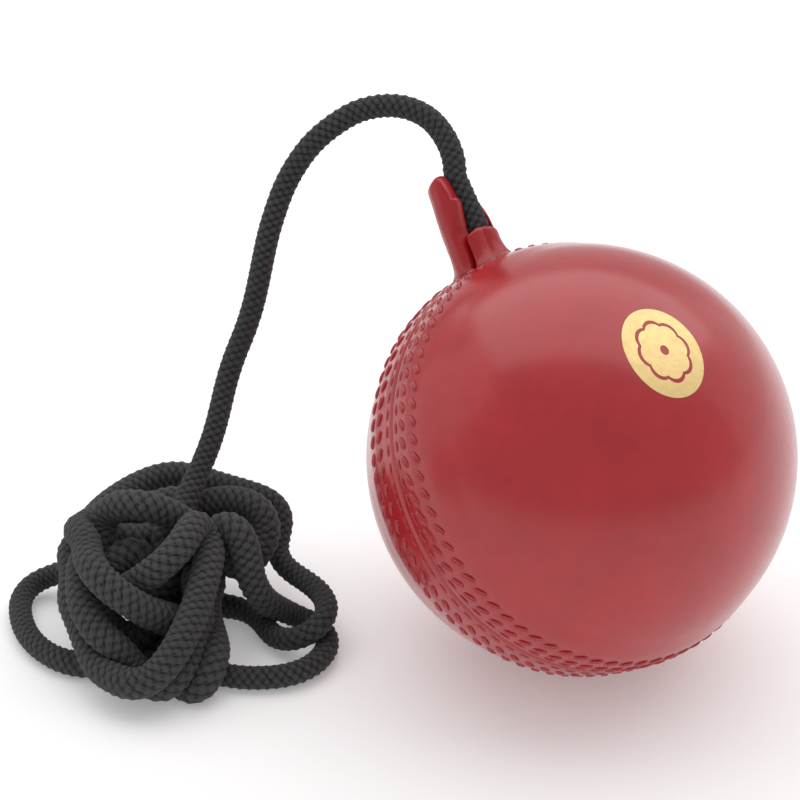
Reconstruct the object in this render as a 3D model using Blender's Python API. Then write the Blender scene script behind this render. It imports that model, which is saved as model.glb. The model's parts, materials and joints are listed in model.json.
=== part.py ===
"""Tether ball: a stitched leather ball on a braided cord that ends in a loose hank.

Metres, +Z up. The ball stands on the floor at the origin. The cord runs through a bore in the
ball, is held by a knot inside it, and leaves through a leather sleeve at the seam.
"""

import math

import bmesh
import bpy
from mathutils import Matrix, Vector

MM = 0.001

# Gap kept between neighbouring pieces, and what the cover's flat facets take from it
GAP = 0.0003
FACET_SAG = 0.0003

# Ball: cover, windings and core, as radii and walls
BALL_RADIUS = 0.036
COVER_WALL = 0.0035
OUTER_WINDING_WALL = 0.0038
CORK_LAYER_WALL = 0.0038
INNER_WINDING_WALL = 0.0060
COVER_SEGMENTS = 48
COVER_RINGS = 7
INNER_SEGMENTS = 24
INNER_RINGS = 6
INNER_TOP_LATITUDE = math.radians(67.5)

# How the ball lies: the bore leaves it at this bearing and elevation, the seam runs through it
BORE_BEARING = math.radians(129.4)
BORE_ELEVATION = math.radians(50.8)

# Raised band along the seam, under the stitches (latitudes from the seam)
BAND_RISE = 0.0004
BAND_MIDDLE_LATITUDE = math.radians(5.0)
BAND_FLAT_LATITUDE = math.radians(12.5)
BAND_EDGE_LATITUDE = math.radians(15.5)

# Stitches: rows at these distances from the seam on either side, and the size of one stitch
FRONT_STITCH_ROWS = (0.00125, 0.00300, 0.00570)
REAR_STITCH_ROWS = (0.00150, 0.00450, 0.00740)
STITCHES_PER_ROW = 76
STITCH_WIDTH = 0.0010
STITCH_NECK = 0.0004
STITCH_HEIGHT = 0.0004

# Cord and its bore
CORD_DIAMETER = 0.004
CORD_SIDES_RESOLUTION = 2
CORD_POINT_SPACING = 0.006
CORD_CLEARANCE = 0.0003

# Knot and its pocket, on the far side of the core
KNOT_DIAMETER = 0.0096
KNOT_LENGTH = 0.0080
KNOT_WAIST = 0.0080

# Leather sleeve round the cord. Its outside is a round tab that leans off to one side of the
# cord, over a thin wall on the other side. It is cut into two tongues, with rims given as
# (angle, height above the ball)
SLEEVE_FOOT_WALL = 0.0009
SLEEVE_THIN_WALL = 0.0005
SLEEVE_FLARE = 0.0006
SLEEVE_FLARE_HEIGHT = 0.0030
FLARE_CURL_HEIGHT = 0.0015
TAB_RADIUS = 0.00395
TAB_ANGLE = 57.6
TAB_OFFSET_AT_FOOT = 0.0026
TAB_OFFSET_AT_TOP = 0.00135
RIM_ROUNDING = 0.0005
REAR_TONGUE_RIM = ((-104, 0.0080), (-74, 0.0115), (-34, 0.0142), (25, 0.0163), (65, 0.0168),
                   (100, 0.0152), (131, 0.0130))
FRONT_TONGUE_RIM = ((135, 0.0058), (150, 0.0066), (195, 0.0068), (236, 0.0064), (252, 0.0052))
TONGUE_STEP = 13.0

# A tongue's cut edge as small faces over its section's corners, root to rim
TONGUE_EDGE_FACES = ((0, 1, 9, 10), (1, 2, 3), (1, 3, 4, 9), (4, 5, 8, 9), (5, 6, 7, 8))

# The cord flexes at two points: in the sleeve's mouth, this far above the ball, and further
# along its neck
SLEEVE_PIVOT_RISE = 0.0160
NECK_LENGTH = 0.0080

# Hank
HANK_ALLOWANCE = 0.0
HANK_SAMPLE_SPACING = 0.0040

# Route of the free cord in millimetres, from the sleeve's mouth to its far end, stretch by stretch
ROUTE = {
    # out of the sleeve, over the top and down to the hank
    "arch": ((-20.9, 25.4, 76.3), (-21.2, 27.3, 79.1), (-22.6, 29.5, 82.0), (-25.2, 31.6, 84.6),
             (-28.9, 33.2, 86.0), (-33.0, 34.4, 86.0), (-37.5, 35.0, 84.8), (-41.8, 34.8, 82.3),
             (-45.5, 34.2, 79.2), (-48.4, 33.4, 75.5), (-50.5, 32.6, 71.8), (-52.1, 31.6, 67.8),
             (-53.4, 30.6, 63.8), (-54.4, 29.6, 59.7), (-55.3, 28.5, 55.6), (-56.4, 27.3, 51.3),
             (-57.9, 25.9, 47.0), (-59.8, 24.3, 42.7), (-61.4, 22.5, 38.0), (-62.5, 20.5, 33.8),
             (-63.8, 18.1, 29.7), (-65.4, 15.4, 26.2), (-67.0, 12.4, 23.4), (-68.5, 9.0, 20.8)),
    # down through the hank, once round inside it, and up across its front
    "hank_core": ((-70.0, 5.6, 18.6), (-71.6, 2.8, 15.8), (-73.0, 1.0, 12.0), (-74.0, -1.4, 8.5),
                  (-75.6, -6.4, 6.6), (-78.6, -9.6, 7.0), (-81.4, -8.0, 9.0), (-82.4, -5.0, 12.0),
                  (-80.6, -2.0, 14.8), (-77.4, -0.4, 15.8), (-74.6, 0.4, 13.4),
                  (-73.0, 1.6, 8.0), (-71.0, -0.6, 5.0), (-68.2, -6.0, 5.6),
                  (-68.0, -10.0, 9.4)),
    "hank_sash": ((-70.4, -12.0, 11.6), (-73.0, -13.4, 14.0), (-76.6, -13.8, 17.0),
                  (-80.2, -12.4, 19.4), (-83.4, -9.4, 21.0), (-85.6, -5.4, 21.6),
                  (-87.0, 0.0, 21.6)),
    # high behind the hank
    "rear_loop": ((-86.6, 5.8, 20.4), (-84.6, 10.2, 20.2), (-81.4, 13.4, 20.0),
                  (-77.4, 16.2, 19.6), (-73.0, 17.8, 19.2), (-68.4, 18.4, 18.0),
                  (-64.6, 17.6, 15.6), (-62.8, 15.0, 13.0), (-63.6, 11.0, 11.2),
                  (-65.6, 5.4, 11.0)),
    # two turns of the hank
    "hank_middle_turn": ((-65.0, -1.4, 12.0), (-65.0, -6.0, 10.4), (-64.6, -11.0, 9.0),
                         (-64.6, -14.8, 7.6), (-65.8, -18.2, 5.6), (-68.4, -20.4, 4.0),
                         (-71.6, -20.0, 3.6), (-74.6, -17.6, 5.0), (-77.2, -17.4, 7.6),
                         (-80.2, -16.6, 10.2), (-83.0, -14.2, 12.6), (-85.0, -10.8, 14.6),
                         (-85.8, -6.0, 16.4), (-85.6, -0.6, 18.0)),
    "hank_back_turn": ((-84.4, 2.4, 20.6), (-82.0, 2.6, 23.6), (-78.6, 1.6, 25.8),
                       (-75.0, 1.0, 26.2), (-71.6, 1.6, 25.0), (-68.4, 2.6, 22.0),
                       (-66.0, 4.0, 17.6), (-64.8, 3.4, 13.0), (-64.4, 1.0, 9.6),
                       (-64.0, -4.0, 7.4), (-63.0, -9.4, 6.8), (-62.2, -15.0, 6.4),
                       (-63.0, -19.0, 4.4), (-65.4, -19.8, 2.4), (-68.8, -16.8, 2.2),
                       (-73.0, -14.0, 2.2), (-77.4, -12.6, 2.2), (-81.4, -12.4, 2.2)),
    # out on the floor to the left, and back behind the hank to its right side
    "left_loop": ((-85.6, -12.2, 2.2), (-90.0, -10.0, 2.2), (-94.6, -5.0, 2.2), (-97.6, 1.8, 2.2),
                  (-98.4, 8.0, 2.4), (-96.4, 12.2, 3.0), (-92.4, 12.8, 4.4), (-88.4, 11.4, 7.4),
                  (-84.0, 9.4, 12.0), (-80.0, 8.4, 14.6), (-75.6, 9.0, 15.0), (-72.0, 10.6, 15.8),
                  (-68.6, 12.4, 17.0), (-65.4, 13.6, 18.4), (-62.0, 13.8, 19.2),
                  (-58.8, 13.4, 19.2), (-55.8, 12.2, 18.4), (-54.2, 10.6, 16.0),
                  (-54.8, 8.4, 13.4), (-57.0, 6.2, 11.4)),
    "hank_curl": ((-59.8, 4.2, 11.6), (-62.2, 3.2, 14.0), (-62.8, 3.2, 17.4)),
    # down over the hank's right side and along the floor in front
    "front_loop": ((-61.2, 2.2, 20.4), (-58.6, 1.0, 21.0), (-57.0, -1.0, 18.0),
                   (-56.0, -2.6, 13.4), (-54.2, -2.4, 9.2), (-51.6, -0.2, 5.6),
                   (-48.4, 1.4, 2.6), (-45.0, -0.6, 2.2), (-42.9, -5.6, 2.2),
                   (-44.4, -11.2, 2.2), (-48.2, -14.8, 2.2), (-52.6, -16.0, 2.2),
                   (-57.0, -16.0, 2.2), (-61.0, -14.8, 2.2), (-65.0, -12.0, 2.2)),
    "hank_underside": ((-69.0, -8.2, 2.2), (-72.4, -4.4, 2.2), (-74.0, 1.0, 2.2),
                       (-72.0, 4.8, 2.2), (-68.0, 6.2, 2.2)),
    # out on the floor to the right, up, and round behind everything
    "right_loop": ((-63.6, 5.6, 2.2), (-59.0, 4.6, 2.2), (-55.2, 1.2, 2.2), (-52.6, -3.6, 2.2),
                   (-49.4, -6.8, 3.6), (-46.0, -7.6, 5.4), (-43.4, -5.0, 6.8), (-43.8, 1.0, 7.0),
                   (-46.6, 5.6, 7.0), (-50.0, 9.4, 7.2), (-52.4, 12.8, 8.4), (-52.2, 15.8, 10.6),
                   (-51.8, 18.6, 13.2), (-54.0, 20.6, 15.0), (-57.6, 22.0, 15.8),
                   (-62.0, 23.2, 16.4), (-66.6, 24.2, 17.2), (-71.6, 24.8, 18.0),
                   (-76.6, 23.2, 17.6), (-81.0, 20.0, 16.6), (-84.6, 15.4, 15.6),
                   (-87.2, 9.2, 15.2), (-88.2, 2.8, 14.4), (-87.8, -3.0, 12.6)),
    # the front turn of the hank, and the end tucked inside
    "hank_front_turn": ((-86.6, -7.6, 11.0), (-84.6, -12.0, 9.0), (-82.0, -16.4, 7.2),
                        (-78.2, -20.4, 6.0), (-74.6, -23.2, 6.0), (-71.0, -22.8, 7.2),
                        (-68.2, -20.6, 9.6), (-66.0, -16.8, 12.2), (-64.4, -12.4, 14.6),
                        (-63.4, -8.0, 17.0), (-63.0, -3.2, 18.8), (-63.8, 0.4, 20.8),
                        (-65.4, -1.2, 23.0), (-66.8, -5.4, 22.8), (-69.4, -8.6, 21.0),
                        (-73.0, -9.0, 18.0), (-76.4, -7.4, 14.6), (-80.0, -3.2, 11.0),
                        (-83.4, 1.0, 11.0), (-84.6, 3.4, 13.2), (-84.0, 4.2, 15.8),
                        (-81.6, 3.6, 17.6)),
}

# Sizes that follow from the ones above
STITCH_PITCH = math.tau * BALL_RADIUS / STITCHES_PER_ROW
CORD_RADIUS = CORD_DIAMETER / 2
BORE_RADIUS = CORD_RADIUS + CORD_CLEARANCE
SLEEVE_INNER_RADIUS = CORD_RADIUS + CORD_CLEARANCE
SLEEVE_OUTER_RADIUS = SLEEVE_INNER_RADIUS + SLEEVE_FOOT_WALL
SLEEVE_HOLE_RADIUS = SLEEVE_OUTER_RADIUS + GAP
COVER_INNER_RADIUS = BALL_RADIUS - COVER_WALL
OUTER_WINDING_RADIUS = COVER_INNER_RADIUS - GAP - FACET_SAG
CORK_LAYER_RADIUS = OUTER_WINDING_RADIUS - OUTER_WINDING_WALL - GAP
INNER_WINDING_RADIUS = CORK_LAYER_RADIUS - CORK_LAYER_WALL - GAP
CORE_RADIUS = INNER_WINDING_RADIUS - INNER_WINDING_WALL - GAP
POCKET_RADIUS = KNOT_DIAMETER / 2 + GAP
POCKET_FLOOR = -CORE_RADIUS + KNOT_LENGTH + 2 * GAP
SLEEVE_PIVOT_HEIGHT = BALL_RADIUS + SLEEVE_PIVOT_RISE
SLEEVE_FOOT_RADIUS = BALL_RADIUS + BAND_RISE + GAP
BALL_CENTRE = Vector((0.0, 0.0, BALL_RADIUS))

RED_LEATHER = ("red_leather", (0.42, 0.012, 0.018), 0.16)
RED_THREAD = ("red_thread", (0.36, 0.010, 0.014), 0.55)
BLACK_BRAID = ("black_braid", (0.022, 0.021, 0.022), 0.85)
CORK = ("cork", (0.50, 0.31, 0.16), 0.90)
TWINE = ("twine", (0.62, 0.54, 0.40), 0.88)


def clear_scene():
    """Remove every object that the file opened with."""
    for obj in list(bpy.data.objects):
        bpy.data.objects.remove(obj, do_unlink=True)


def finish_material(finish, node_name):
    """A Principled material of its own for one sub-part."""
    finish_name, colour, roughness = finish
    material = bpy.data.materials.new(f"{finish_name}_{node_name}")
    material.use_nodes = True
    shader = material.node_tree.nodes["Principled BSDF"]
    shader.inputs["Base Color"].default_value = (*colour, 1.0)
    shader.inputs["Roughness"].default_value = roughness
    shader.inputs["Metallic"].default_value = 0.0
    material.diffuse_color = (*colour, 1.0)
    return material


def add_empty(name, location, rotation, parent=None):
    """A frame that pieces are parented to."""
    empty = bpy.data.objects.new(name, None)
    bpy.context.scene.collection.objects.link(empty)
    empty.location = location
    empty.rotation_euler = rotation
    empty.parent = parent
    return empty


def add_mesh(name, bm, finish, parent=None):
    """Make an object from a bmesh, with its faces pointing out and shaded smooth."""
    bmesh.ops.recalc_face_normals(bm, faces=bm.faces)
    mesh = bpy.data.meshes.new(name)
    bm.to_mesh(mesh)
    bm.free()
    mesh.shade_smooth()
    mesh.set_sharp_from_angle(angle=math.radians(40))
    obj = bpy.data.objects.new(name, mesh)
    bpy.context.scene.collection.objects.link(obj)
    obj.data.materials.append(finish_material(finish, name))
    obj.parent = parent
    return obj


def as_cutter(obj):
    """Hide a cutter from the render and show it as wire."""
    obj.hide_render = True
    obj.display_type = "WIRE"
    return obj


def cut(obj, cutter):
    """Subtract a cutter from an object."""
    modifier = obj.modifiers.new("cut_" + cutter.name, "BOOLEAN")
    modifier.operation = "DIFFERENCE"
    modifier.object = cutter


def turned(profile, segments, closed=False):
    """Spin a profile of (radius, height) points round Z. A closed profile never meets the axis."""
    bm = bmesh.new()
    verts = [bm.verts.new((radius, 0.0, height)) for radius, height in profile]
    edges = [bm.edges.new(pair) for pair in zip(verts, verts[1:])]
    if closed:
        edges.append(bm.edges.new((verts[-1], verts[0])))
    bmesh.ops.spin(bm, geom=verts + edges, cent=(0, 0, 0), axis=(0, 0, 1),
                   angle=math.tau, steps=segments, use_duplicate=False)
    bmesh.ops.remove_doubles(bm, verts=bm.verts, dist=1e-6)
    return bm


def arc(radius, start, end, steps):
    """Points (r, z) on a circle about the origin, by latitude."""
    angles = [start + (end - start) * step / steps for step in range(steps + 1)]
    return [(radius * math.cos(angle), radius * math.sin(angle)) for angle in angles]


def smooth_step(value):
    """0 to 1 with level ends."""
    value = max(0.0, min(1.0, value))
    return value * value * (3.0 - 2.0 * value)


def band_rise(latitude):
    """How far the cover stands above the plain ball at a latitude from the seam."""
    fall = (abs(latitude) - BAND_FLAT_LATITUDE) / (BAND_EDGE_LATITUDE - BAND_FLAT_LATITUDE)
    return BAND_RISE * (1.0 - smooth_step(fall))


def cover_profile():
    """Half of the cover's section, pole to seam inside and back outside, seam normal up."""
    seam = GAP / 2
    pole = math.pi / 2
    inner = arc(COVER_INNER_RADIUS, pole, math.asin(seam / COVER_INNER_RADIUS), COVER_RINGS)
    band_radius = BALL_RADIUS + BAND_RISE
    latitudes = [math.asin(seam / band_radius), BAND_MIDDLE_LATITUDE, BAND_FLAT_LATITUDE,
                 (BAND_FLAT_LATITUDE + BAND_EDGE_LATITUDE) / 2, BAND_EDGE_LATITUDE]
    plain = COVER_RINGS
    latitudes += [BAND_EDGE_LATITUDE + (pole - BAND_EDGE_LATITUDE) * step / plain
                  for step in range(1, plain + 1)]
    outer = []
    for latitude in latitudes:
        radius = BALL_RADIUS + band_rise(latitude)
        outer.append((radius * math.cos(latitude), radius * math.sin(latitude)))
    profile = inner + outer
    profile[0] = (0.0, COVER_INNER_RADIUS)
    profile[-1] = (0.0, BALL_RADIUS)
    return profile


def add_cover(name, ball_frame, side, hole):
    """One leather cup. The seam's normal lies along the ball frame's X, and side is its sign."""
    bm = turned(cover_profile(), COVER_SEGMENTS)
    bmesh.ops.rotate(bm, verts=bm.verts, matrix=Matrix.Rotation(side * math.pi / 2, 3, "Y"))
    cover = add_mesh(name, bm, RED_LEATHER, ball_frame)
    cut(cover, hole)
    return cover


def stitch_clear_of_sleeve(latitude, angle):
    """True where a stitch doesn't run under the sleeve's foot."""
    if math.cos(angle) < 0.0:
        return True
    tab_x = TAB_OFFSET_AT_FOOT * math.cos(math.radians(TAB_ANGLE))
    tab_y = TAB_OFFSET_AT_FOOT * math.sin(math.radians(TAB_ANGLE))
    across = BALL_RADIUS * math.sin(latitude)
    along = -BALL_RADIUS * math.sin(angle) * math.cos(latitude)
    margin = SLEEVE_FLARE + STITCH_PITCH / 2 + GAP
    return (math.hypot(across - tab_x, along - tab_y) > TAB_RADIUS + margin
            and math.hypot(across, along) > SLEEVE_OUTER_RADIUS + margin)


def add_stitch_row(name, ball_frame, offset, side):
    """One thread sewn round the ball: a string of flat-bottomed stitches joined by thin necks."""
    latitude = side * offset / BALL_RADIUS
    surface = BALL_RADIUS + band_rise(latitude) + GAP
    step = math.tau / STITCHES_PER_ROW
    sewn = [index for index in range(STITCHES_PER_ROW)
            if stitch_clear_of_sleeve(latitude, (index + 0.5) * step)]
    bm = bmesh.new()
    sections = []
    for index in sewn:
        sections.append(stitch_section(bm, latitude, surface, index * step, STITCH_NECK))
        sections.append(stitch_section(bm, latitude, surface, (index + 0.5) * step, STITCH_WIDTH))
    whole_ring = len(sewn) == STITCHES_PER_ROW
    if not whole_ring:
        end = (sewn[-1] + 1) * step
        sections.append(stitch_section(bm, latitude, surface, end, STITCH_NECK))
        bm.faces.new(sections[0])
        bm.faces.new(list(reversed(sections[-1])))
    following = sections[1:] + sections[:1] if whole_ring else sections[1:]
    for near, far in zip(sections, following):
        for corner in range(3):
            after = (corner + 1) % 3
            bm.faces.new((near[corner], far[corner], far[after], near[after]))
    return add_mesh(name, bm, RED_THREAD, ball_frame)


def stitch_section(bm, latitude, surface, angle, width):
    """Three corners of the thread's section at an angle round the seam: two feet and a crown."""
    turn = Matrix.Rotation(angle, 3, "X") @ Matrix.Rotation(latitude, 3, "Y")
    crown = surface + STITCH_HEIGHT * width / STITCH_WIDTH
    corners = ((-width / 2, surface), (0.0, crown), (width / 2, surface))
    return [bm.verts.new(turn @ Vector((across, 0.0, height))) for across, height in corners]


def skin(radius, lowest):
    """A ball's section from the bore's edge down to a lowest latitude, through shared latitudes."""
    pocket_edge = -math.acos(POCKET_RADIUS / CORE_RADIUS)
    ring_step = (pocket_edge - INNER_TOP_LATITUDE) / INNER_RINGS
    latitudes = [math.acos(BORE_RADIUS / radius)]
    latitudes += [INNER_TOP_LATITUDE + ring_step * ring for ring in range(INNER_RINGS + 1)]
    if lowest < latitudes[-1]:
        latitudes.append(lowest)
    return [(radius * math.cos(latitude), radius * math.sin(latitude)) for latitude in latitudes]


def add_layer(name, ball_frame, outer_radius, wall, finish):
    """A hollow ball with a bore towards the sleeve."""
    bottom = -math.pi / 2
    outer = skin(outer_radius, bottom)
    inner = list(reversed(skin(outer_radius - wall, bottom)))
    outer[-1] = (0.0, outer[-1][1])
    inner[0] = (0.0, inner[0][1])
    return add_mesh(name, turned_shell(outer, inner), finish, ball_frame)


def turned_shell(outer, inner):
    """A turned wall whose two skins each close on the axis and meet at the bore."""
    bm = bmesh.new()
    for profile in (outer, inner, (inner[-1], outer[0])):
        wall = turned(profile, INNER_SEGMENTS)
        mesh = bpy.data.meshes.new("wall")
        wall.to_mesh(mesh)
        wall.free()
        bm.from_mesh(mesh)
        bpy.data.meshes.remove(mesh)
    bmesh.ops.remove_doubles(bm, verts=bm.verts, dist=1e-6)
    return bm


def add_core(ball_frame):
    """Cork core: a bore right through, widened to the knot's pocket on the far side."""
    pocket_edge = -math.acos(POCKET_RADIUS / CORE_RADIUS)
    profile = skin(CORE_RADIUS, pocket_edge)
    profile += [(POCKET_RADIUS, POCKET_FLOOR), (BORE_RADIUS, POCKET_FLOOR)]
    return add_mesh("core", turned(profile, INNER_SEGMENTS, closed=True), CORK, ball_frame)


def sleeve_radius(angle, share):
    """The sleeve's outer radius at an angle, and at a share of the way from its foot to its top."""
    offset = TAB_OFFSET_AT_FOOT + (TAB_OFFSET_AT_TOP - TAB_OFFSET_AT_FOOT) * share
    turn = math.radians(angle - TAB_ANGLE)
    reach = offset * math.cos(turn) + math.sqrt(TAB_RADIUS ** 2 - (offset * math.sin(turn)) ** 2)
    return max(reach, SLEEVE_INNER_RADIUS + SLEEVE_THIN_WALL)


def add_tongue(name, ball_frame, rim):
    """A leather tongue wrapped round the cord: a bowed wall with a flared foot and a shaped rim."""
    foot = OUTER_WINDING_RADIUS + GAP
    neck = SLEEVE_FOOT_RADIUS + SLEEVE_FLARE_HEIGHT
    sleeve_height = max(height for angle, height in REAR_TONGUE_RIM)
    first, last = rim[0][0], rim[-1][0]
    columns = max(2, round((last - first) / TONGUE_STEP))
    bm = bmesh.new()
    loops = []
    for column in range(columns + 1):
        angle = first + (last - first) * column / columns
        rise = rim_height(rim, angle)
        top = BALL_RADIUS + rise
        at_foot = sleeve_radius(angle, 0.0)
        at_rim = sleeve_radius(angle, rise / sleeve_height)
        flare_radius = max(at_foot, SLEEVE_OUTER_RADIUS) + SLEEVE_FLARE
        flare_bottom = math.sqrt(SLEEVE_FOOT_RADIUS ** 2 - flare_radius ** 2)
        outer = [(SLEEVE_OUTER_RADIUS, foot),
                 (SLEEVE_OUTER_RADIUS, math.sqrt(SLEEVE_FOOT_RADIUS ** 2 - SLEEVE_OUTER_RADIUS ** 2)),
                 (flare_radius, flare_bottom),
                 ((flare_radius + at_foot) / 2, flare_bottom + FLARE_CURL_HEIGHT),
                 (at_foot, neck), ((at_foot + at_rim) / 2, (neck + top) / 2),
                 (at_rim, top - RIM_ROUNDING), ((at_rim + SLEEVE_INNER_RADIUS) / 2, top)]
        inner = [(SLEEVE_INNER_RADIUS, top - RIM_ROUNDING), (SLEEVE_INNER_RADIUS, neck),
                 (SLEEVE_INNER_RADIUS, foot)]
        turn = math.radians(angle)
        loops.append([bm.verts.new((radius * math.cos(turn), radius * math.sin(turn), height))
                      for radius, height in outer + inner])
    for left, right in zip(loops, loops[1:]):
        for index in range(len(left)):
            following = (index + 1) % len(left)
            bm.faces.new((left[index], right[index], right[following], left[following]))
    for corners in TONGUE_EDGE_FACES:
        bm.faces.new([loops[0][corner] for corner in corners])
        bm.faces.new([loops[-1][corner] for corner in reversed(corners)])
    return add_mesh(name, bm, RED_LEATHER, ball_frame)


def rim_height(rim, angle):
    """The tongue's height above the ball at an angle, read between its rim points."""
    for (start, low), (end, high) in zip(rim, rim[1:]):
        if angle <= end:
            return low + (high - low) * (angle - start) / (end - start)
    return rim[-1][1]


def add_knot(ball_frame):
    """Stopper knot: two rolls of cord with a waist, in the core's pocket."""
    top = POCKET_FLOOR - GAP
    bottom = top - KNOT_LENGTH
    middle = (top + bottom) / 2
    quarter = KNOT_LENGTH / 4
    half = KNOT_DIAMETER / 2
    profile = [(0.0, top), (half * 0.62, top), (half * 0.93, top - quarter * 0.45),
               (half, top - quarter), (KNOT_WAIST / 2, middle), (half, bottom + quarter),
               (half * 0.93, bottom + quarter * 0.45), (half * 0.55, bottom), (0.0, bottom)]
    return add_mesh("stopper_knot", turned(profile, INNER_SEGMENTS), BLACK_BRAID, ball_frame)


def rounded_end(pivot, radius, steps=4):
    """Points (radius, height) of a round end centred on a pivot height, from its side to its tip."""
    return [(radius * math.cos(math.pi / 2 * step / steps),
             pivot + radius * math.sin(math.pi / 2 * step / steps)) for step in range(steps + 1)]


def add_inner_cord(ball_frame):
    """The cord through the ball, from the knot to its round end at the sleeve's pivot."""
    bottom = POCKET_FLOOR
    profile = [(0.0, bottom), (CORD_RADIUS, bottom)]
    profile += rounded_end(SLEEVE_PIVOT_HEIGHT, CORD_RADIUS)
    profile[-1] = (0.0, SLEEVE_PIVOT_HEIGHT + CORD_RADIUS)
    return add_mesh("cord_inner", turned(profile, 12), BLACK_BRAID, ball_frame)


def smooth_route(points, samples=12):
    """A smooth curve through points: centripetal Catmull-Rom, finely sampled."""
    ends = [points[0] * 2 - points[1], *points, points[-1] * 2 - points[-2]]
    curve = []
    for index in range(1, len(ends) - 2):
        p0, p1, p2, p3 = ends[index - 1:index + 3]
        t0 = 0.0
        t1 = t0 + math.sqrt((p1 - p0).length)
        t2 = t1 + math.sqrt((p2 - p1).length)
        t3 = t2 + math.sqrt((p3 - p2).length)
        for step in range(samples):
            t = t1 + (t2 - t1) * step / samples
            a1 = p0.lerp(p1, (t - t0) / (t1 - t0))
            a2 = p1.lerp(p2, (t - t1) / (t2 - t1))
            a3 = p2.lerp(p3, (t - t2) / (t3 - t2))
            b1 = a1.lerp(a2, (t - t0) / (t2 - t0))
            b2 = a2.lerp(a3, (t - t1) / (t3 - t1))
            curve.append(b1.lerp(b2, (t - t1) / (t2 - t1)))
    curve.append(points[-1].copy())
    return curve


def lengths_along(curve):
    """Distance along a curve at each of its points."""
    total = [0.0]
    for first, second in zip(curve, curve[1:]):
        total.append(total[-1] + (second - first).length)
    return total


def point_at(curve, lengths, distance):
    """The point at a distance along a curve."""
    distance = max(0.0, min(lengths[-1], distance))
    for index in range(1, len(lengths)):
        if distance <= lengths[index]:
            part = (distance - lengths[index - 1]) / (lengths[index] - lengths[index - 1])
            return curve[index - 1].lerp(curve[index], part)
    return curve[-1].copy()


class Route:
    """The free cord's whole route, read by distance along it."""

    def __init__(self):
        points = []
        stretch_starts = {}
        for stretch, waypoints in ROUTE.items():
            stretch_starts[stretch] = len(points)
            points += [Vector(waypoint) * MM for waypoint in waypoints]
        samples = 12
        self.curve = smooth_route(points, samples)
        self.lengths = lengths_along(self.curve)
        self.starts = {stretch: self.lengths[index * samples]
                       for stretch, index in stretch_starts.items()}
        self.length = self.lengths[-1]

    def at(self, distance):
        """The point at a distance from the sleeve's mouth."""
        return point_at(self.curve, self.lengths, distance)

    def span(self, stretch):
        """Where a stretch starts and where the next one does."""
        names = list(self.starts)
        following = names.index(stretch) + 1
        end = self.starts[names[following]] if following < len(names) else self.length
        return self.starts[stretch], end


def add_tube(name, stations, finish=BLACK_BRAID):
    """A cord tube: a bevelled curve through (point, radius share) stations."""
    curve = bpy.data.curves.new(name, "CURVE")
    curve.dimensions = "3D"
    curve.bevel_depth = CORD_RADIUS
    curve.bevel_resolution = CORD_SIDES_RESOLUTION
    curve.use_fill_caps = True
    spline = curve.splines.new("POLY")
    spline.points.add(len(stations) - 1)
    for point, (place, share) in zip(spline.points, stations):
        point.co = (*place, 1.0)
        point.radius = share
    tube = bpy.data.objects.new(name, curve)
    bpy.context.scene.collection.objects.link(tube)
    curve.materials.append(finish_material(finish, name))
    return tube


def stations_between(route, start, end, share=1.0):
    """Evenly spaced stations along the route."""
    count = max(2, round((end - start) / CORD_POINT_SPACING))
    return [(route.at(start + (end - start) * step / count), share) for step in range(count + 1)]


def add_neck(route):
    """The cord's neck between its two flex points, with a round end at the upper one."""
    flat_end = CORD_RADIUS + GAP
    places = [(flat_end, 1.0), (NECK_LENGTH / 2 + flat_end / 2, 1.0), (NECK_LENGTH, 1.0)]
    for share in (0.35, 0.7, 0.93, 0.99):
        places.append((NECK_LENGTH + CORD_RADIUS * share, math.sqrt(1.0 - share * share)))
    direction = (route.at(NECK_LENGTH) - route.at(NECK_LENGTH - 0.001)).normalized()
    stations = []
    for distance, share in places:
        if distance <= NECK_LENGTH:
            stations.append((route.at(distance), share))
        else:
            stations.append((route.at(NECK_LENGTH) + direction * (distance - NECK_LENGTH), share))
    return add_tube("cord_neck", stations)


def add_hank(route):
    """The hank's outer form: a tight skin round all of its turns."""
    bm = bmesh.new()
    radius = CORD_RADIUS + HANK_ALLOWANCE
    corners = [Vector(corner).normalized() * radius
               for corner in ((1, 0, 0), (-1, 0, 0), (0, 1, 0), (0, -1, 0), (0, 0, 1), (0, 0, -1),
                              (1, 1, 1), (-1, 1, 1), (1, -1, 1), (-1, -1, 1),
                              (1, 1, -1), (-1, 1, -1), (1, -1, -1), (-1, -1, -1))]
    for stretch in ROUTE:
        if not stretch.startswith("hank"):
            continue
        start, end = route.span(stretch)
        count = max(2, round((end - start) / HANK_SAMPLE_SPACING))
        for step in range(count + 1):
            centre = route.at(start + (end - start) * step / count)
            for corner in corners:
                bm.verts.new(centre + corner)
    bmesh.ops.convex_hull(bm, input=bm.verts)
    loose = [vert for vert in bm.verts if not vert.link_faces]
    bmesh.ops.delete(bm, geom=loose, context="VERTS")
    return add_mesh("cord_hank", bm, BLACK_BRAID)


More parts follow.
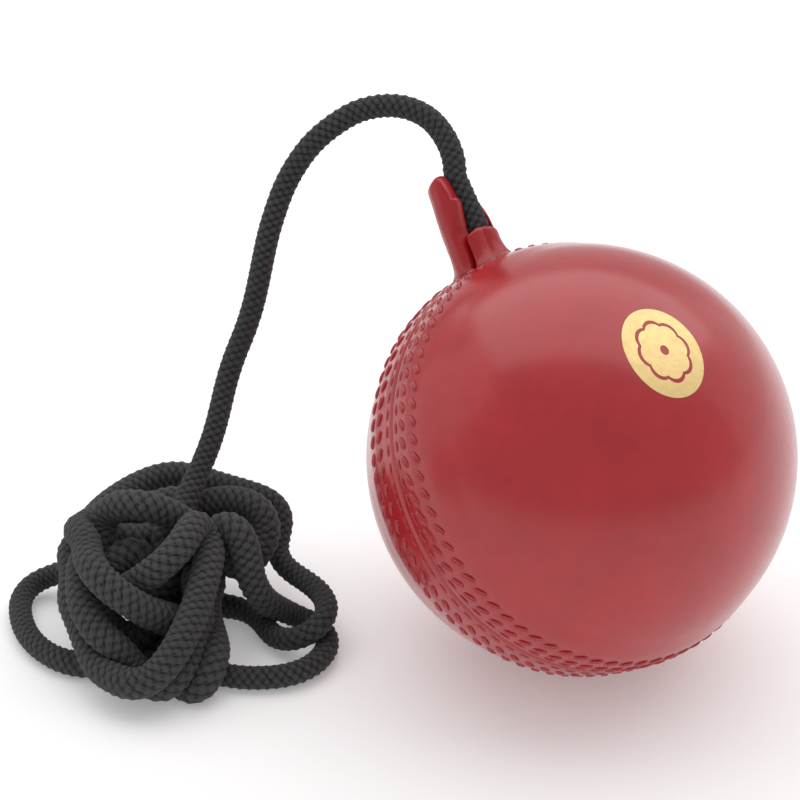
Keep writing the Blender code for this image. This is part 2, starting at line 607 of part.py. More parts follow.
def build():
    """Make every sub-part."""
    clear_scene()
    rotation = (0.0, math.pi / 2 - BORE_ELEVATION, BORE_BEARING)
    ball_frame = add_empty("ball_frame", BALL_CENTRE, rotation)

    hole_mesh = bmesh.new()
    bmesh.ops.create_cone(hole_mesh, cap_ends=True, segments=INNER_SEGMENTS,
                          radius1=SLEEVE_HOLE_RADIUS, radius2=SLEEVE_HOLE_RADIUS,
                          depth=BALL_RADIUS,
                          matrix=Matrix.Translation((0, 0, BALL_RADIUS)))
    hole = as_cutter(add_mesh("sleeve_hole", hole_mesh, RED_LEATHER, ball_frame))
    add_cover("front_cover", ball_frame, -1, hole)
    add_cover("rear_cover", ball_frame, 1, hole)
    for label, side, offsets in (("front", -1, FRONT_STITCH_ROWS), ("rear", 1, REAR_STITCH_ROWS)):
        for row, offset in enumerate(offsets, start=1):
            add_stitch_row(f"{label}_stitch_row_{row}", ball_frame, offset, side)

    add_layer("outer_winding", ball_frame, OUTER_WINDING_RADIUS, OUTER_WINDING_WALL, TWINE)
    add_layer("cork_layer", ball_frame, CORK_LAYER_RADIUS, CORK_LAYER_WALL, CORK)
    add_layer("inner_winding", ball_frame, INNER_WINDING_RADIUS, INNER_WINDING_WALL, TWINE)
    add_core(ball_frame)
    add_tongue("rear_tongue", ball_frame, REAR_TONGUE_RIM)
    add_tongue("front_tongue", ball_frame, FRONT_TONGUE_RIM)

    add_knot(ball_frame)
    add_inner_cord(ball_frame)

    route = Route()
    add_neck(route)
    hank = add_hank(route)
    for socket in add_loops(route):
        cut(hank, socket)


def add_loops(route):
    """The cord's tubes outside the hank, and a slightly wider cutter for each one's socket."""
    sockets = []
    for stretch in ROUTE:
        if stretch.startswith("hank"):
            continue
        start, end = route.span(stretch)
        if stretch == "arch":
            start = NECK_LENGTH + CORD_RADIUS + GAP
        stations = stations_between(route, start, end)
        add_tube("cord_" + stretch, stations)
        sockets.append(add_socket("socket_" + stretch, stations))
    return sockets


def add_socket(name, stations):
    """A cutter that leaves a gap all round a tube and past its ends."""
    first, second = stations[0][0], stations[1][0]
    last, before_last = stations[-1][0], stations[-2][0]
    longer = [(first + (first - second).normalized() * GAP, 1.0), *stations[1:-1],
              (last + (last - before_last).normalized() * GAP, 1.0)]
    guide = add_tube(name + "_guide", longer)
    guide.data.bevel_depth = CORD_RADIUS + GAP
    bm = bmesh.new()
    shape = bpy.data.meshes.new_from_object(guide)
    bm.from_mesh(shape)
    bpy.data.meshes.remove(shape)
    bpy.data.objects.remove(guide)
    bmesh.ops.remove_doubles(bm, verts=bm.verts, dist=1e-6)
    return as_cutter(add_mesh(name, bm, BLACK_BRAID))


build()
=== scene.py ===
"""Dressing of the tether ball: a stitched, lacquered leather ball on a braided cord.

Metres, +Z up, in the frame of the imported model. Each sub-assembly is a class that builds its
pieces and gives them their finish; main() makes them in order.
"""

import json
import logging
import math
from collections.abc import Callable, Sequence
from dataclasses import dataclass, field
from enum import Enum
from typing import Any

import bmesh
import bpy
import numpy as np
from mathutils import Matrix, Vector, noise


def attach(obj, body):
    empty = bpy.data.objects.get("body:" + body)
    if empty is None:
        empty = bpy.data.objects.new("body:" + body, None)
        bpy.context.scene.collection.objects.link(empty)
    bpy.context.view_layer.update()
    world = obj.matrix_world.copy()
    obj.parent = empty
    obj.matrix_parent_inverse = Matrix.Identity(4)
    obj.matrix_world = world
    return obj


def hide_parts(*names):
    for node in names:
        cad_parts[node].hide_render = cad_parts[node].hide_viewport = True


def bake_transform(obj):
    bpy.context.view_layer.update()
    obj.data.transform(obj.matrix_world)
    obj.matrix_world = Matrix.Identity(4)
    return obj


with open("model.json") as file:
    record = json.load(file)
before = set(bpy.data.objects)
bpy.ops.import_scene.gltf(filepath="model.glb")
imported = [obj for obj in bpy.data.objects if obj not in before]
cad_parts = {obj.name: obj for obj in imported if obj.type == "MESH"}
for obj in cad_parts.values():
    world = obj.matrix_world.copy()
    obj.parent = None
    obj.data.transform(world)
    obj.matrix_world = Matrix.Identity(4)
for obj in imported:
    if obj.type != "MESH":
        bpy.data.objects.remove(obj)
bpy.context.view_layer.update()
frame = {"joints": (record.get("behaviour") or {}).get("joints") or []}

LOG = logging.getLogger("tether_ball")
MM = 0.001
# What a length is held above before it divides
TINY = 1e-9
Pair = tuple[float, float]
Triple = tuple[float, float, float]
Colour = Triple


# --- Shader maths ---


class Signal:
    """What varies over a surface: one shader socket with arithmetic."""

    def __init__(self, graph: "Graph", socket: bpy.types.NodeSocket) -> None:
        """Keep the socket and the graph that it belongs to."""
        self.graph = graph
        self.socket = socket

    def _math(self, operation: str, first: Any, second: Any = None) -> "Signal":
        """Add one Math node.

        Args:
            operation: The node's operation.
            first: First operand, a Signal or a number.
            second: Second operand, where the operation has one.

        Returns:
            The node's result.
        """
        inputs = {0: first} if second is None else {0: first, 1: second}
        return self.graph.signal("ShaderNodeMath", {"operation": operation}, inputs, 0)

    def __add__(self, other: Any) -> "Signal":
        """Sum."""
        return self._math("ADD", self, other)

    __radd__ = __add__

    def __mul__(self, other: Any) -> "Signal":
        """Product."""
        return self._math("MULTIPLY", self, other)

    __rmul__ = __mul__

    def __sub__(self, other: Any) -> "Signal":
        """Difference."""
        return self._math("SUBTRACT", self, other)

    def __rsub__(self, other: Any) -> "Signal":
        """Difference, with the number first."""
        return self._math("SUBTRACT", other, self)

    def __mod__(self, other: Any) -> "Signal":
        """Remainder, never negative."""
        return self._math("FLOORED_MODULO", self, other)

    def floor(self) -> "Signal":
        """Whole part."""
        return self._math("FLOOR", self)

    def fract(self) -> "Signal":
        """Part after the whole number."""
        return self._math("FRACT", self)

    def wave(self) -> "Signal":
        """Sine of the value times a full turn, brought to 0..1."""
        return self._math("SINE", self * math.tau) * 0.5 + 0.5

    def clamp(self) -> "Signal":
        """Held between 0 and 1."""
        return self.graph.signal("ShaderNodeClamp", {}, {0: self}, 0)


class Graph:
    """One material's nodes, with a Principled shader at the end."""

    def __init__(self, name: str) -> None:
        """Start a material with an untouched Principled shader.

        Args:
            name: Name of the material.
        """
        self.material = bpy.data.materials.new(name)
        self.material.use_nodes = True
        self.tree = self.material.node_tree
        self.shader = self.tree.nodes["Principled BSDF"]

    def node(self, kind: str, settings: dict[str, Any], inputs: dict[Any, Any]) -> bpy.types.Node:
        """Add a node of any kind: its settings first, then its sockets.

        Args:
            kind: The node's type name.
            settings: The node's own properties.
            inputs: Socket name or number, and the value or Signal for it.

        Returns:
            The node.
        """
        node = self.tree.nodes.new(kind)
        for key, value in settings.items():
            setattr(node, key, value)
        for key, value in inputs.items():
            self.feed(node.inputs[key], value)
        return node

    def feed(self, socket: bpy.types.NodeSocket, value: Any) -> None:
        """Link a Signal to a socket, or write a constant on it.

        Args:
            socket: The socket.
            value: A Signal, a number, or three numbers.
        """
        if isinstance(value, Signal):
            self.tree.links.new(value.socket, socket)
        elif socket.type == "RGBA":
            socket.default_value = (*value, 1.0)
        else:
            socket.default_value = value

    def signal(self, kind: str, settings: dict[str, Any], inputs: dict[Any, Any],
               output: Any) -> Signal:
        """Add a node and return one of its outputs."""
        return Signal(self, self.node(kind, settings, inputs).outputs[output])

    def place(self) -> Signal:
        """Object coordinates, in metres."""
        return self.signal("ShaderNodeTexCoord", {}, {}, "Object")

    def uv(self) -> tuple[Signal, Signal]:
        """The two coordinates of the piece's own UV map.

        Returns:
            The first and the second coordinate.
        """
        where = self.signal("ShaderNodeTexCoord", {}, {}, "UV")
        parts = self.node("ShaderNodeSeparateXYZ", {}, {0: where})
        return Signal(self, parts.outputs[0]), Signal(self, parts.outputs[1])

    def mark(self, name: str) -> Signal:
        """A number stored on the mesh under a name."""
        return self.signal("ShaderNodeAttribute", {"attribute_name": name}, {}, "Fac")

    def noise(self, cells: float, detail: float = 2.0, roughness: float = 0.5) -> Signal:
        """Noise with so many cells per metre, 0..1 about 0.5."""
        inputs = {"Vector": self.place(), "Scale": cells, "Detail": detail, "Roughness": roughness}
        return self.signal("ShaderNodeTexNoise", {}, inputs, 0)

    def voronoi(self, cells: float, output: str, feature: str = "F1") -> Signal:
        """One output of a pattern with so many cells per metre."""
        return self.signal("ShaderNodeTexVoronoi", {"feature": feature},
                           {"Vector": self.place(), "Scale": cells}, output)

    def between(self, share: Signal, limits: Pair) -> Signal:
        """Where a value stands between two others, held to 0..1."""
        return ((share - limits[0]) * (1.0 / (limits[1] - limits[0]))).clamp()

    def over(self, share: Signal, limits: Pair) -> Signal:
        """0..1 brought to a range."""
        return share * (limits[1] - limits[0]) + limits[0]

    def mix(self, share: Any, first: Any, second: Any) -> Signal:
        """Mix two colours: the share, 0 to 1, is how much of the second."""
        return self.signal("ShaderNodeMix", {"data_type": "RGBA"},
                           {0: share, 6: first, 7: second}, 2)

    def bump(self, height: Signal, depth: float, strength: float = 1.0,
             under: Signal | None = None) -> Signal:
        """A normal from a height.

        Args:
            height: The height, 0 to 1.
            depth: What a height of 1 is, in metres.
            strength: How strongly it acts.
            under: A coarser or finer normal that it lies on.

        Returns:
            The normal.
        """
        inputs: dict[Any, Any] = {"Height": height, "Distance": depth, "Strength": strength}
        if under is not None:
            inputs["Normal"] = under
        return self.signal("ShaderNodeBump", {}, inputs, "Normal")

    def finish(self, **sockets: Any) -> bpy.types.Material:
        """Write the shader's sockets and hand the material over.

        Args:
            **sockets: Socket names, with underscores for spaces, and their values.

        Returns:
            The material.
        """
        for name, value in sockets.items():
            self.feed(self.shader.inputs[name.replace("_", " ")], value)
        return self.material


# --- Finishes ---


class Slot(Enum):
    """The record's finish slots."""

    RED_LEATHER = "red_leather"
    RED_THREAD = "red_thread"
    BLACK_BRAID = "black_braid"
    CORK = "cork"
    TWINE = "twine"


# What the clear lacquer is like on hide and on thread
LACQUER: dict[str, float] = {"Coat_Roughness": 0.21, "Coat_IOR": 1.55, "Specular_IOR_Level": 0.15}


@dataclass(frozen=True)
class LacqueredLeather:
    """Red hide under a thick clear lacquer."""

    name: str = "lacquered_leather"
    colour: Colour = (0.450, 0.0110, 0.0170)
    deep: Colour = (0.382, 0.0075, 0.0125)
    # Painted shade: the colour in the sewn hollows and in the fold at the sleeve's foot
    crevice: Colour = (0.130, 0.003, 0.005)
    cloud_cells: float = 95.0
    cloud_share: float = 0.65
    blotch_cells: float = 420.0
    blotch_share: float = 0.35
    mottle_range: Pair = (0.36, 0.66)
    wrinkle_cells: float = 760.0
    wrinkle_depth: float = 0.00005
    wrinkle_range: Pair = (0.2, 0.8)
    roughness: Pair = (0.34, 0.44)
    grain_cells: float = 1900.0
    grain_depth: float = 0.000012
    pore_width: Pair = (0.0, 0.22)
    coat: float = 0.9

    def material(self) -> bpy.types.Material:
        """Mottled dye, a fine pore grain, painted shade in the sewn hollows, and a clear coat.

        Returns:
            The material.
        """
        graph = Graph(self.name)
        cloud = graph.noise(self.cloud_cells, detail=3.0, roughness=0.55)
        blotch = graph.noise(self.blotch_cells)
        mottle = graph.between(cloud * self.cloud_share + blotch * self.blotch_share,
                               self.mottle_range)
        base_colour = graph.mix(mottle, self.deep, self.colour)
        # Painted shade: darker red where the sewing draws the hide in and in the fold at the
        # sleeve's foot
        base_colour = graph.mix(graph.mark("hollow").clamp(), base_colour, self.crevice)
        pores = graph.voronoi(self.grain_cells, "Distance", "DISTANCE_TO_EDGE")
        wrinkle = graph.noise(self.wrinkle_cells, detail=3.0, roughness=0.6)
        skin = graph.bump(graph.between(pores, self.pore_width), self.grain_depth, strength=0.45)
        skin = graph.bump(wrinkle, self.wrinkle_depth, strength=0.35, under=skin)
        rough = graph.over(graph.between(wrinkle, self.wrinkle_range), self.roughness)
        return graph.finish(Base_Color=base_colour, Roughness=rough, Normal=skin, Coat_Weight=self.coat,
                            **LACQUER)


@dataclass(frozen=True)
class LacqueredThread:
    """Red sewing thread, its twist still showing through the lacquer."""

    name: str = "lacquered_thread"
    colour: Colour = (0.48, 0.014, 0.021)
    # Painted shade: the colour in the grooves between the plies
    shade: Colour = (0.33, 0.008, 0.013)
    plies_around: float = 3.0
    plies_along: float = 7.0
    ply_depth: float = 0.00010
    ply_share: float = 0.8
    fibre_cells: float = 9000.0
    fibre_depth: float = 0.00003
    fibre_share: float = 0.35
    dye_range: Pair = (0.15, 0.85)
    coat: float = 0.9

    def material(self) -> bpy.types.Material:
        """Twisted plies along each stitch, with painted shade between them.

        Returns:
            The material.
        """
        graph = Graph(self.name)
        around, along = graph.uv()
        plies = (around * self.plies_around + along * self.plies_along).wave()
        fibres = graph.noise(self.fibre_cells)
        crown = plies * self.ply_share + fibres * self.fibre_share
        # Painted shade: darker between the plies
        base_colour = graph.mix(graph.between(crown, self.dye_range), self.shade, self.colour)
        twist = graph.bump(plies, self.ply_depth, strength=0.7)
        twist = graph.bump(fibres, self.fibre_depth, strength=0.5, under=twist)
        return graph.finish(Base_Color=base_colour, Roughness=0.40, Normal=twist, Coat_Weight=self.coat,
                            **LACQUER)


@dataclass(frozen=True)
class BlackBraid:
    """Matt black textured yarn, plaited round."""

    name: str = "black_braid"
    yarn: Colour = (0.0270, 0.0277, 0.0284)
    # Pale yarn: worn crowns and fluff, and the painted light on the bundled turns
    worn: Colour = (0.088, 0.089, 0.091)
    # Painted shade: the colour in the gaps between the strands
    gap: Colour = (0.0034, 0.0034, 0.0035)
    sheen: Colour = (0.75, 0.76, 0.80)
    filaments: float = 5.0
    filament_depth: float = 0.00005
    lint_cells: float = 14000.0
    lint_depth: float = 0.00009
    fluff_cells: float = 3000.0
    # How much the crowns, the fluff and the painted light on the bundled turns pale the yarn
    wear_shares: Triple = (0.60, 0.85, 0.12)
    wear_range: Pair = (0.40, 1.20)
    gap_range: Pair = (0.04, 0.48)
    patch_cells: float = 60.0
    patch_range: Pair = (0.35, 0.75)
    patch_share: float = 0.35

    def material(self) -> bpy.types.Material:
        """Filaments along whichever strand is on top, paler crowns, painted shade in the gaps,
        painted light on the bundled turns, and lint.

        Returns:
            The material.
        """
        graph = Graph(self.name)
        around, along = graph.uv()
        left, right = around + along, around - along
        turn = (left.floor() + right.floor()) % 2.0
        lines_left = (left.fract() * self.filaments).wave()
        lines_right = (right.fract() * self.filaments).wave()
        lines = lines_left * (1.0 - turn) + lines_right * turn
        lint = graph.noise(self.lint_cells, detail=3.0, roughness=0.65)
        crown = graph.mark("crown")
        fluff = graph.noise(self.fluff_cells, detail=3.0, roughness=0.7)
        of_crown, of_fluff, of_bundle_light = self.wear_shares
        # Paler with worn crowns and fluff, and with painted light where the turns lie bundled,
        # lifting their own shade
        wear_and_painted_light = crown * of_crown + fluff * of_fluff + graph.mark("rubbed") * of_bundle_light
        base_colour = graph.mix(graph.between(wear_and_painted_light, self.wear_range), self.yarn, self.worn)
        # Painted shade: near black in the gaps between the strands
        base_colour = graph.mix(1.0 - graph.between(crown, self.gap_range), base_colour, self.gap)
        patch = graph.between(graph.noise(self.patch_cells), self.patch_range)
        base_colour = graph.mix(patch * self.patch_share, base_colour, self.yarn)
        pile = graph.bump(lines, self.filament_depth, strength=0.8)
        pile = graph.bump(lint, self.lint_depth, strength=0.7, under=pile)
        return graph.finish(Base_Color=base_colour, Roughness=0.88, Normal=pile, Sheen_Weight=0.12,
                            Sheen_Roughness=0.45, Sheen_Tint=self.sheen, Specular_IOR_Level=0.25)


@dataclass(frozen=True)
class KnottedBraid:
    """The braid where it is knotted tight: small filaments, with painted shade at their edges."""

    name: str = "knot_braid"
    colour: Colour = (0.060, 0.060, 0.063)
    # Painted shade at the filaments' edges
    dark: Colour = (0.012, 0.012, 0.013)
    cells: float = 6500.0
    edge_range: Pair = (0.15, 0.55)
    depth: float = 0.00005

    def material(self) -> bpy.types.Material:
        """Filaments paler in the middle than at their edges: painted shade at the edges.

        Returns:
            The material.
        """
        graph = Graph(self.name)
        edge = graph.between(graph.voronoi(self.cells, "Distance"), self.edge_range)
        return graph.finish(Base_Color=graph.mix(edge, self.colour, self.dark), Roughness=0.55,
                            Normal=graph.bump(1.0 - edge, self.depth))


@dataclass(frozen=True)
class GoldFoil:
    """Pale gold foil pressed on the lacquer."""

    name: str = "gold_foil"
    colour: Colour = (0.86, 0.63, 0.28)
    worn: Colour = (0.72, 0.48, 0.18)
    rub_cells: float = 900.0
    rub_range: Pair = (0.42, 0.72)
    rub_share: float = 0.5
    roughness: Pair = (0.34, 0.52)
    crinkle_cells: float = 5200.0
    crinkle_depth: float = 0.00002

    def material(self) -> bpy.types.Material:
        """Slightly rubbed foil with a soft, uneven gleam.

        Returns:
            The material.
        """
        graph = Graph(self.name)
        rub = graph.between(graph.noise(self.rub_cells, detail=4.0, roughness=0.7), self.rub_range)
        crinkle = graph.noise(self.crinkle_cells)
        return graph.finish(Base_Color=graph.mix(rub * self.rub_share, self.colour, self.worn),
                            Metallic=0.55, Roughness=graph.over(rub, self.roughness),
                            Normal=graph.bump(crinkle, self.crinkle_depth, strength=0.4))


@dataclass(frozen=True)
class Cork:
    """Pressed cork."""

    name: str = "cork"
    light: Colour = (0.56, 0.36, 0.19)
    dark: Colour = (0.26, 0.14, 0.065)
    granule_cells: float = 700.0
    granule_share: float = 0.6
    pore_cells: float = 2600.0
    pore_range: Pair = (0.5, 0.75)
    pore_share: float = 0.4
    joint_width: Pair = (0.0, 0.06)
    joint_share: float = 0.8
    slope_width: Pair = (0.0, 0.12)
    depth: float = 0.00025

    def material(self) -> bpy.types.Material:
        """Granules of several browns with dark joints and open pores.

        Returns:
            The material.
        """
        graph = Graph(self.name)
        tint = graph.voronoi(self.granule_cells, "Color")
        shade = graph.signal("ShaderNodeSeparateColor", {}, {0: tint}, 0)
        joint = graph.voronoi(self.granule_cells, "Distance", "DISTANCE_TO_EDGE")
        pores = graph.noise(self.pore_cells, detail=4.0, roughness=0.7)
        open_pores = graph.between(pores, self.pore_range)
        brown = shade * self.granule_share + open_pores * self.pore_share
        base_colour = graph.mix(brown, self.light, self.dark)
        in_joint = 1.0 - graph.between(joint, self.joint_width)
        base_colour = graph.mix(in_joint * self.joint_share, base_colour, self.dark)
        height = graph.between(joint, self.slope_width) * self.granule_share
        height = height + pores * self.pore_share
        return graph.finish(Base_Color=base_colour, Roughness=0.92,
                            Normal=graph.bump(height, self.depth, strength=0.8))


@dataclass(frozen=True)
class WoundTwine:
    """Worsted twine wound tight over the core."""

    name: str = "wound_twine"
    light: Colour = (0.66, 0.58, 0.44)
    # Painted shade: the colour in the grooves between the turns
    dark: Colour = (0.30, 0.24, 0.16)
    lays: Pair = (0.6, -0.9)
    lean: float = 0.5
    bands: float = 150.0
    line_share: float = 0.8
    patch_cells: float = 160.0
    patch_range: Pair = (0.47, 0.53)
    fibre_cells: float = 7000.0
    fibre_share: float = 0.3
    dye_range: Pair = (0.2, 0.9)
    depth: float = 0.00025

    def material(self) -> bpy.types.Material:
        """Two crossing lays of fine twine, painted shade between the turns, and a fibre's
        unevenness.

        Returns:
            The material.
        """
        graph = Graph(self.name)
        first, second = (self.lay(graph, tilt) for tilt in self.lays)
        patch = graph.between(graph.noise(self.patch_cells), self.patch_range)
        lines = first * patch + second * (1.0 - patch)
        fibre = graph.noise(self.fibre_cells, detail=3.0)
        crown = lines * self.line_share + fibre * self.fibre_share
        # Painted shade: darker in the grooves between the turns, with the fibre's unevenness
        return graph.finish(
            Base_Color=graph.mix(graph.between(crown, self.dye_range), self.dark, self.light),
            Roughness=0.9, Normal=graph.bump(lines, self.depth, strength=0.9))

    def lay(self, graph: Graph, tilt: float) -> Signal:
        """The turns of one lay.

        Args:
            graph: The material's nodes.
            tilt: How far the lay leans, in radians.

        Returns:
            The turns' height, 0 to 1.
        """
        turned = graph.signal("ShaderNodeMapping", {},
                              {"Vector": graph.place(),
                               "Rotation": (tilt, self.lean * tilt, 0.0)}, 0)
        return graph.signal("ShaderNodeTexWave", {"bands_direction": "Z"},
                            {"Vector": turned, "Scale": self.bands, "Distortion": 1.5,
                             "Detail": 2.0}, "Fac")


@dataclass(frozen=True)
class PaleFloor:
    """A matt pale floor."""

    name: str = "pale_floor"
    colour: Colour = (0.86, 0.86, 0.865)
    cloudy: Colour = (0.88, 0.88, 0.88)
    glow: Colour = (1.0, 1.0, 1.0)
    glow_strength: float = 0.22
    cloud_cells: float = 18.0
    cloud_share: float = 0.25
    grain_cells: float = 2500.0
    grain_depth: float = 0.00004

    def material(self) -> bpy.types.Material:
        """An even pale surface with a barely seen grain.

        Returns:
            The material.
        """
        graph = Graph(self.name)
        cloud = graph.noise(self.cloud_cells, detail=3.0)
        grain = graph.noise(self.grain_cells, detail=3.0)
        base_colour = graph.mix(cloud * self.cloud_share, self.colour, self.cloudy)
        return graph.finish(Base_Color=base_colour,
                            Roughness=0.85, Specular_IOR_Level=0.15, Emission_Color=self.glow,
                            Emission_Strength=self.glow_strength,
                            Normal=graph.bump(grain, self.grain_depth, strength=0.3))


# --- Bench: modelling by hand with operators ---


class Element(Enum):
    """What a pick in edit mode selects."""

    VERT = "VERT"
    EDGE = "EDGE"
    FACE = "FACE"


class Bench:
    """Small helpers round the modelling operators."""

    @staticmethod
    def clear() -> None:
        """Leave edit mode and deselect everything."""
        active = bpy.context.view_layer.objects.active
        if active is not None and active.mode != "OBJECT":
            bpy.ops.object.mode_set(mode="OBJECT")
        bpy.ops.object.select_all(action="DESELECT")

    @staticmethod
    def named(name: str) -> bpy.types.Object:
        """Name the active object and its mesh, and put its place in its mesh.

        Args:
            name: The name.

        Returns:
            The object.
        """
        obj = bpy.context.view_layer.objects.active
        obj.name = name
        obj.data.name = name
        bpy.ops.object.transform_apply(location=True, rotation=True, scale=True)
        return obj

    @staticmethod
    def shown(name: str, mesh: bpy.types.Mesh) -> bpy.types.Object:
        """Put a mesh in the scene as an object.

        Args:
            name: Name of the object.
            mesh: Its mesh.

        Returns:
            The object.
        """
        obj = bpy.data.objects.new(name, mesh)
        bpy.context.scene.collection.objects.link(obj)
        return obj

    @staticmethod
    def take(*objs: bpy.types.Object) -> bpy.types.Object:
        """Select some objects alone.

        Args:
            *objs: The objects, the one to be active first.

        Returns:
            The active one.
        """
        Bench.clear()
        for obj in objs:
            obj.select_set(True)
        bpy.context.view_layer.objects.active = objs[0]
        return objs[0]

    @staticmethod
    def edit(obj: bpy.types.Object) -> None:
        """Open an object in edit mode with all of it selected.

        Args:
            obj: The object.
        """
        Bench.take(obj)
        bpy.ops.object.mode_set(mode="EDIT")
        bpy.ops.mesh.select_all(action="SELECT")

    @staticmethod
    def done() -> None:
        """Back to object mode."""
        bpy.ops.object.mode_set(mode="OBJECT")

    @staticmethod
    def pick(test: Callable[[Vector], bool], kind: Element = Element.VERT) -> None:
        """In edit mode, select the elements whose middle passes a test.

        Args:
            test: Takes a place and says whether to take it.
            kind: What it selects.
        """
        bpy.ops.mesh.select_mode(type=kind.value)
        bpy.ops.mesh.select_all(action="DESELECT")
        mesh = bpy.context.view_layer.objects.active.data
        bm = bmesh.from_edit_mesh(mesh)
        if kind is Element.VERT:
            found = [vert for vert in bm.verts if test(vert.co)]
        elif kind is Element.EDGE:
            found = [edge for edge in bm.edges
                     if test((edge.verts[0].co + edge.verts[1].co) / 2)]
        else:
            found = [face for face in bm.faces if test(face.calc_center_median())]
        for element in found:
            element.select_set(True)
        bm.select_flush_mode()
        bmesh.update_edit_mesh(mesh)

    @staticmethod
    def slice(place: Triple, normal: Triple, keep_above: bool = False) -> None:
        """In edit mode, cut the whole mesh by a plane, and drop what is below it if asked."""
        bpy.ops.mesh.select_all(action="SELECT")
        bpy.ops.mesh.bisect(plane_co=place, plane_no=normal, clear_inner=keep_above)

    @staticmethod
    def close(merge: float = 1e-6) -> None:
        """In edit mode, merge doubles, turn the faces outwards and leave edit mode.

        Args:
            merge: How close two vertices are merged.
        """
        bpy.ops.mesh.select_all(action="SELECT")
        bpy.ops.mesh.remove_doubles(threshold=merge)
        bpy.ops.mesh.select_all(action="SELECT")
        bpy.ops.mesh.normals_make_consistent(inside=False)
        Bench.done()

    @staticmethod
    def apply(obj: bpy.types.Object, kind: str, **settings: Any) -> None:
        """Add a modifier and apply it.

        Args:
            obj: The object.
            kind: The modifier's type name.
            **settings: The modifier's own properties.
        """
        Bench.take(obj)
        modifier = obj.modifiers.new(kind.lower(), kind)
        for key, value in settings.items():
            setattr(modifier, key, value)
        bpy.ops.object.modifier_apply(modifier=modifier.name)

    @staticmethod
    def smooth(obj: bpy.types.Object, degrees: float = 40.0) -> None:
        """Shade smooth, with edges sharper than an angle kept."""
        Bench.take(obj)
        bpy.ops.object.shade_smooth_by_angle(angle=math.radians(degrees))

    @staticmethod
    def places(obj: bpy.types.Object) -> np.ndarray:
        """Where an object's vertices are.

        Args:
            obj: The object.

        Returns:
            The places, one row each.
        """
        found = np.empty(len(obj.data.vertices) * 3)
        obj.data.vertices.foreach_get("co", found)
        return found.reshape(-1, 3)

    @staticmethod
    def move(obj: bpy.types.Object, shape: Callable[[np.ndarray], np.ndarray]) -> None:
        """Move an object's vertices: shape takes the places and returns the new ones."""
        obj.data.vertices.foreach_set("co", shape(Bench.places(obj)).ravel())
        obj.data.update()

    @staticmethod
    def set_down(obj: bpy.types.Object, matrix: Matrix) -> None:
        """Put a piece modelled at the bench in its place, with the place kept in its mesh."""
        obj.data.transform(matrix)
        obj.data.update()

    @staticmethod
    def copies(name: str, pattern: bpy.types.Object, places: Sequence[Matrix]) -> bpy.types.Object:
        """Copy a modelled pattern to each place and join the copies as one piece.

        Args:
            name: Name of the new piece.
            pattern: The object that was modelled once.
            places: Where each copy goes.

        Returns:
            The joined piece.
        """
        bm = bmesh.new()
        for place in places:
            mesh = pattern.data.copy()
            mesh.transform(place)
            bm.from_mesh(mesh)
            bpy.data.meshes.remove(mesh)
        joined = bpy.data.meshes.new(name)
        bm.to_mesh(joined)
        bm.free()
        return Bench.shown(name, joined)

    @staticmethod
    def mark(obj: bpy.types.Object, name: str, values: np.ndarray) -> None:
        """Store one number per vertex under a name."""
        attribute = obj.data.attributes.new(name, "FLOAT", "POINT")
        attribute.data.foreach_set("value", values.astype(np.float32))

    @staticmethod
    def dress(obj: bpy.types.Object, material: bpy.types.Material, slot: Slot) -> None:
        """Give a piece its one material.

        Args:
            obj: The piece.
            material: The material.
            slot: The record's slot that the material stands for; not used.
        """
        obj.data.materials.clear()
        obj.data.materials.append(material)

    @staticmethod
    def put_on_ball(obj: bpy.types.Object, *nodes: str) -> None:
        """Make a piece move with the ball, and report it.

        Args:
            obj: The piece.
            *nodes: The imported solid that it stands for, where there is one.
        """
        if nodes:
            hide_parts(*nodes)
        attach(obj, "ball")
        LOG.info("%s: %d faces", obj.name, len(obj.data.polygons))


# --- Sums on rows of numbers ---


def ease(value: np.ndarray) -> np.ndarray:
    """0 to 1 with level ends."""
    held = np.clip(value, 0.0, 1.0)
    return held * held * (3.0 - 2.0 * held)


def hill(distance: np.ndarray, width: float) -> np.ndarray:
    """A smooth hump, 1 at no distance."""
    return np.exp(-((distance / width) ** 2))


def travelled(places: np.ndarray) -> np.ndarray:
    """How far along a line of places each place lies."""
    return np.concatenate([[0.0], np.cumsum(np.linalg.norm(np.diff(places, axis=0), axis=1))])


def read_at(wanted: np.ndarray, known: np.ndarray, rows: np.ndarray) -> np.ndarray:
    """A table whose rows stand at known distances, read at the wanted ones."""
    return np.stack([np.interp(wanted, known, column) for column in rows.T], axis=1)


def softened(rows: np.ndarray) -> np.ndarray:
    """A table with every row but the first and the last eased towards its neighbours.

    Args:
        rows: The table.

    Returns:
        The eased table.
    """
    eased = rows.copy()
    eased[1:-1] = (rows[:-2] + 2 * rows[1:-1] + rows[2:]) / 4
    return eased


# --- The ball's own axes ---


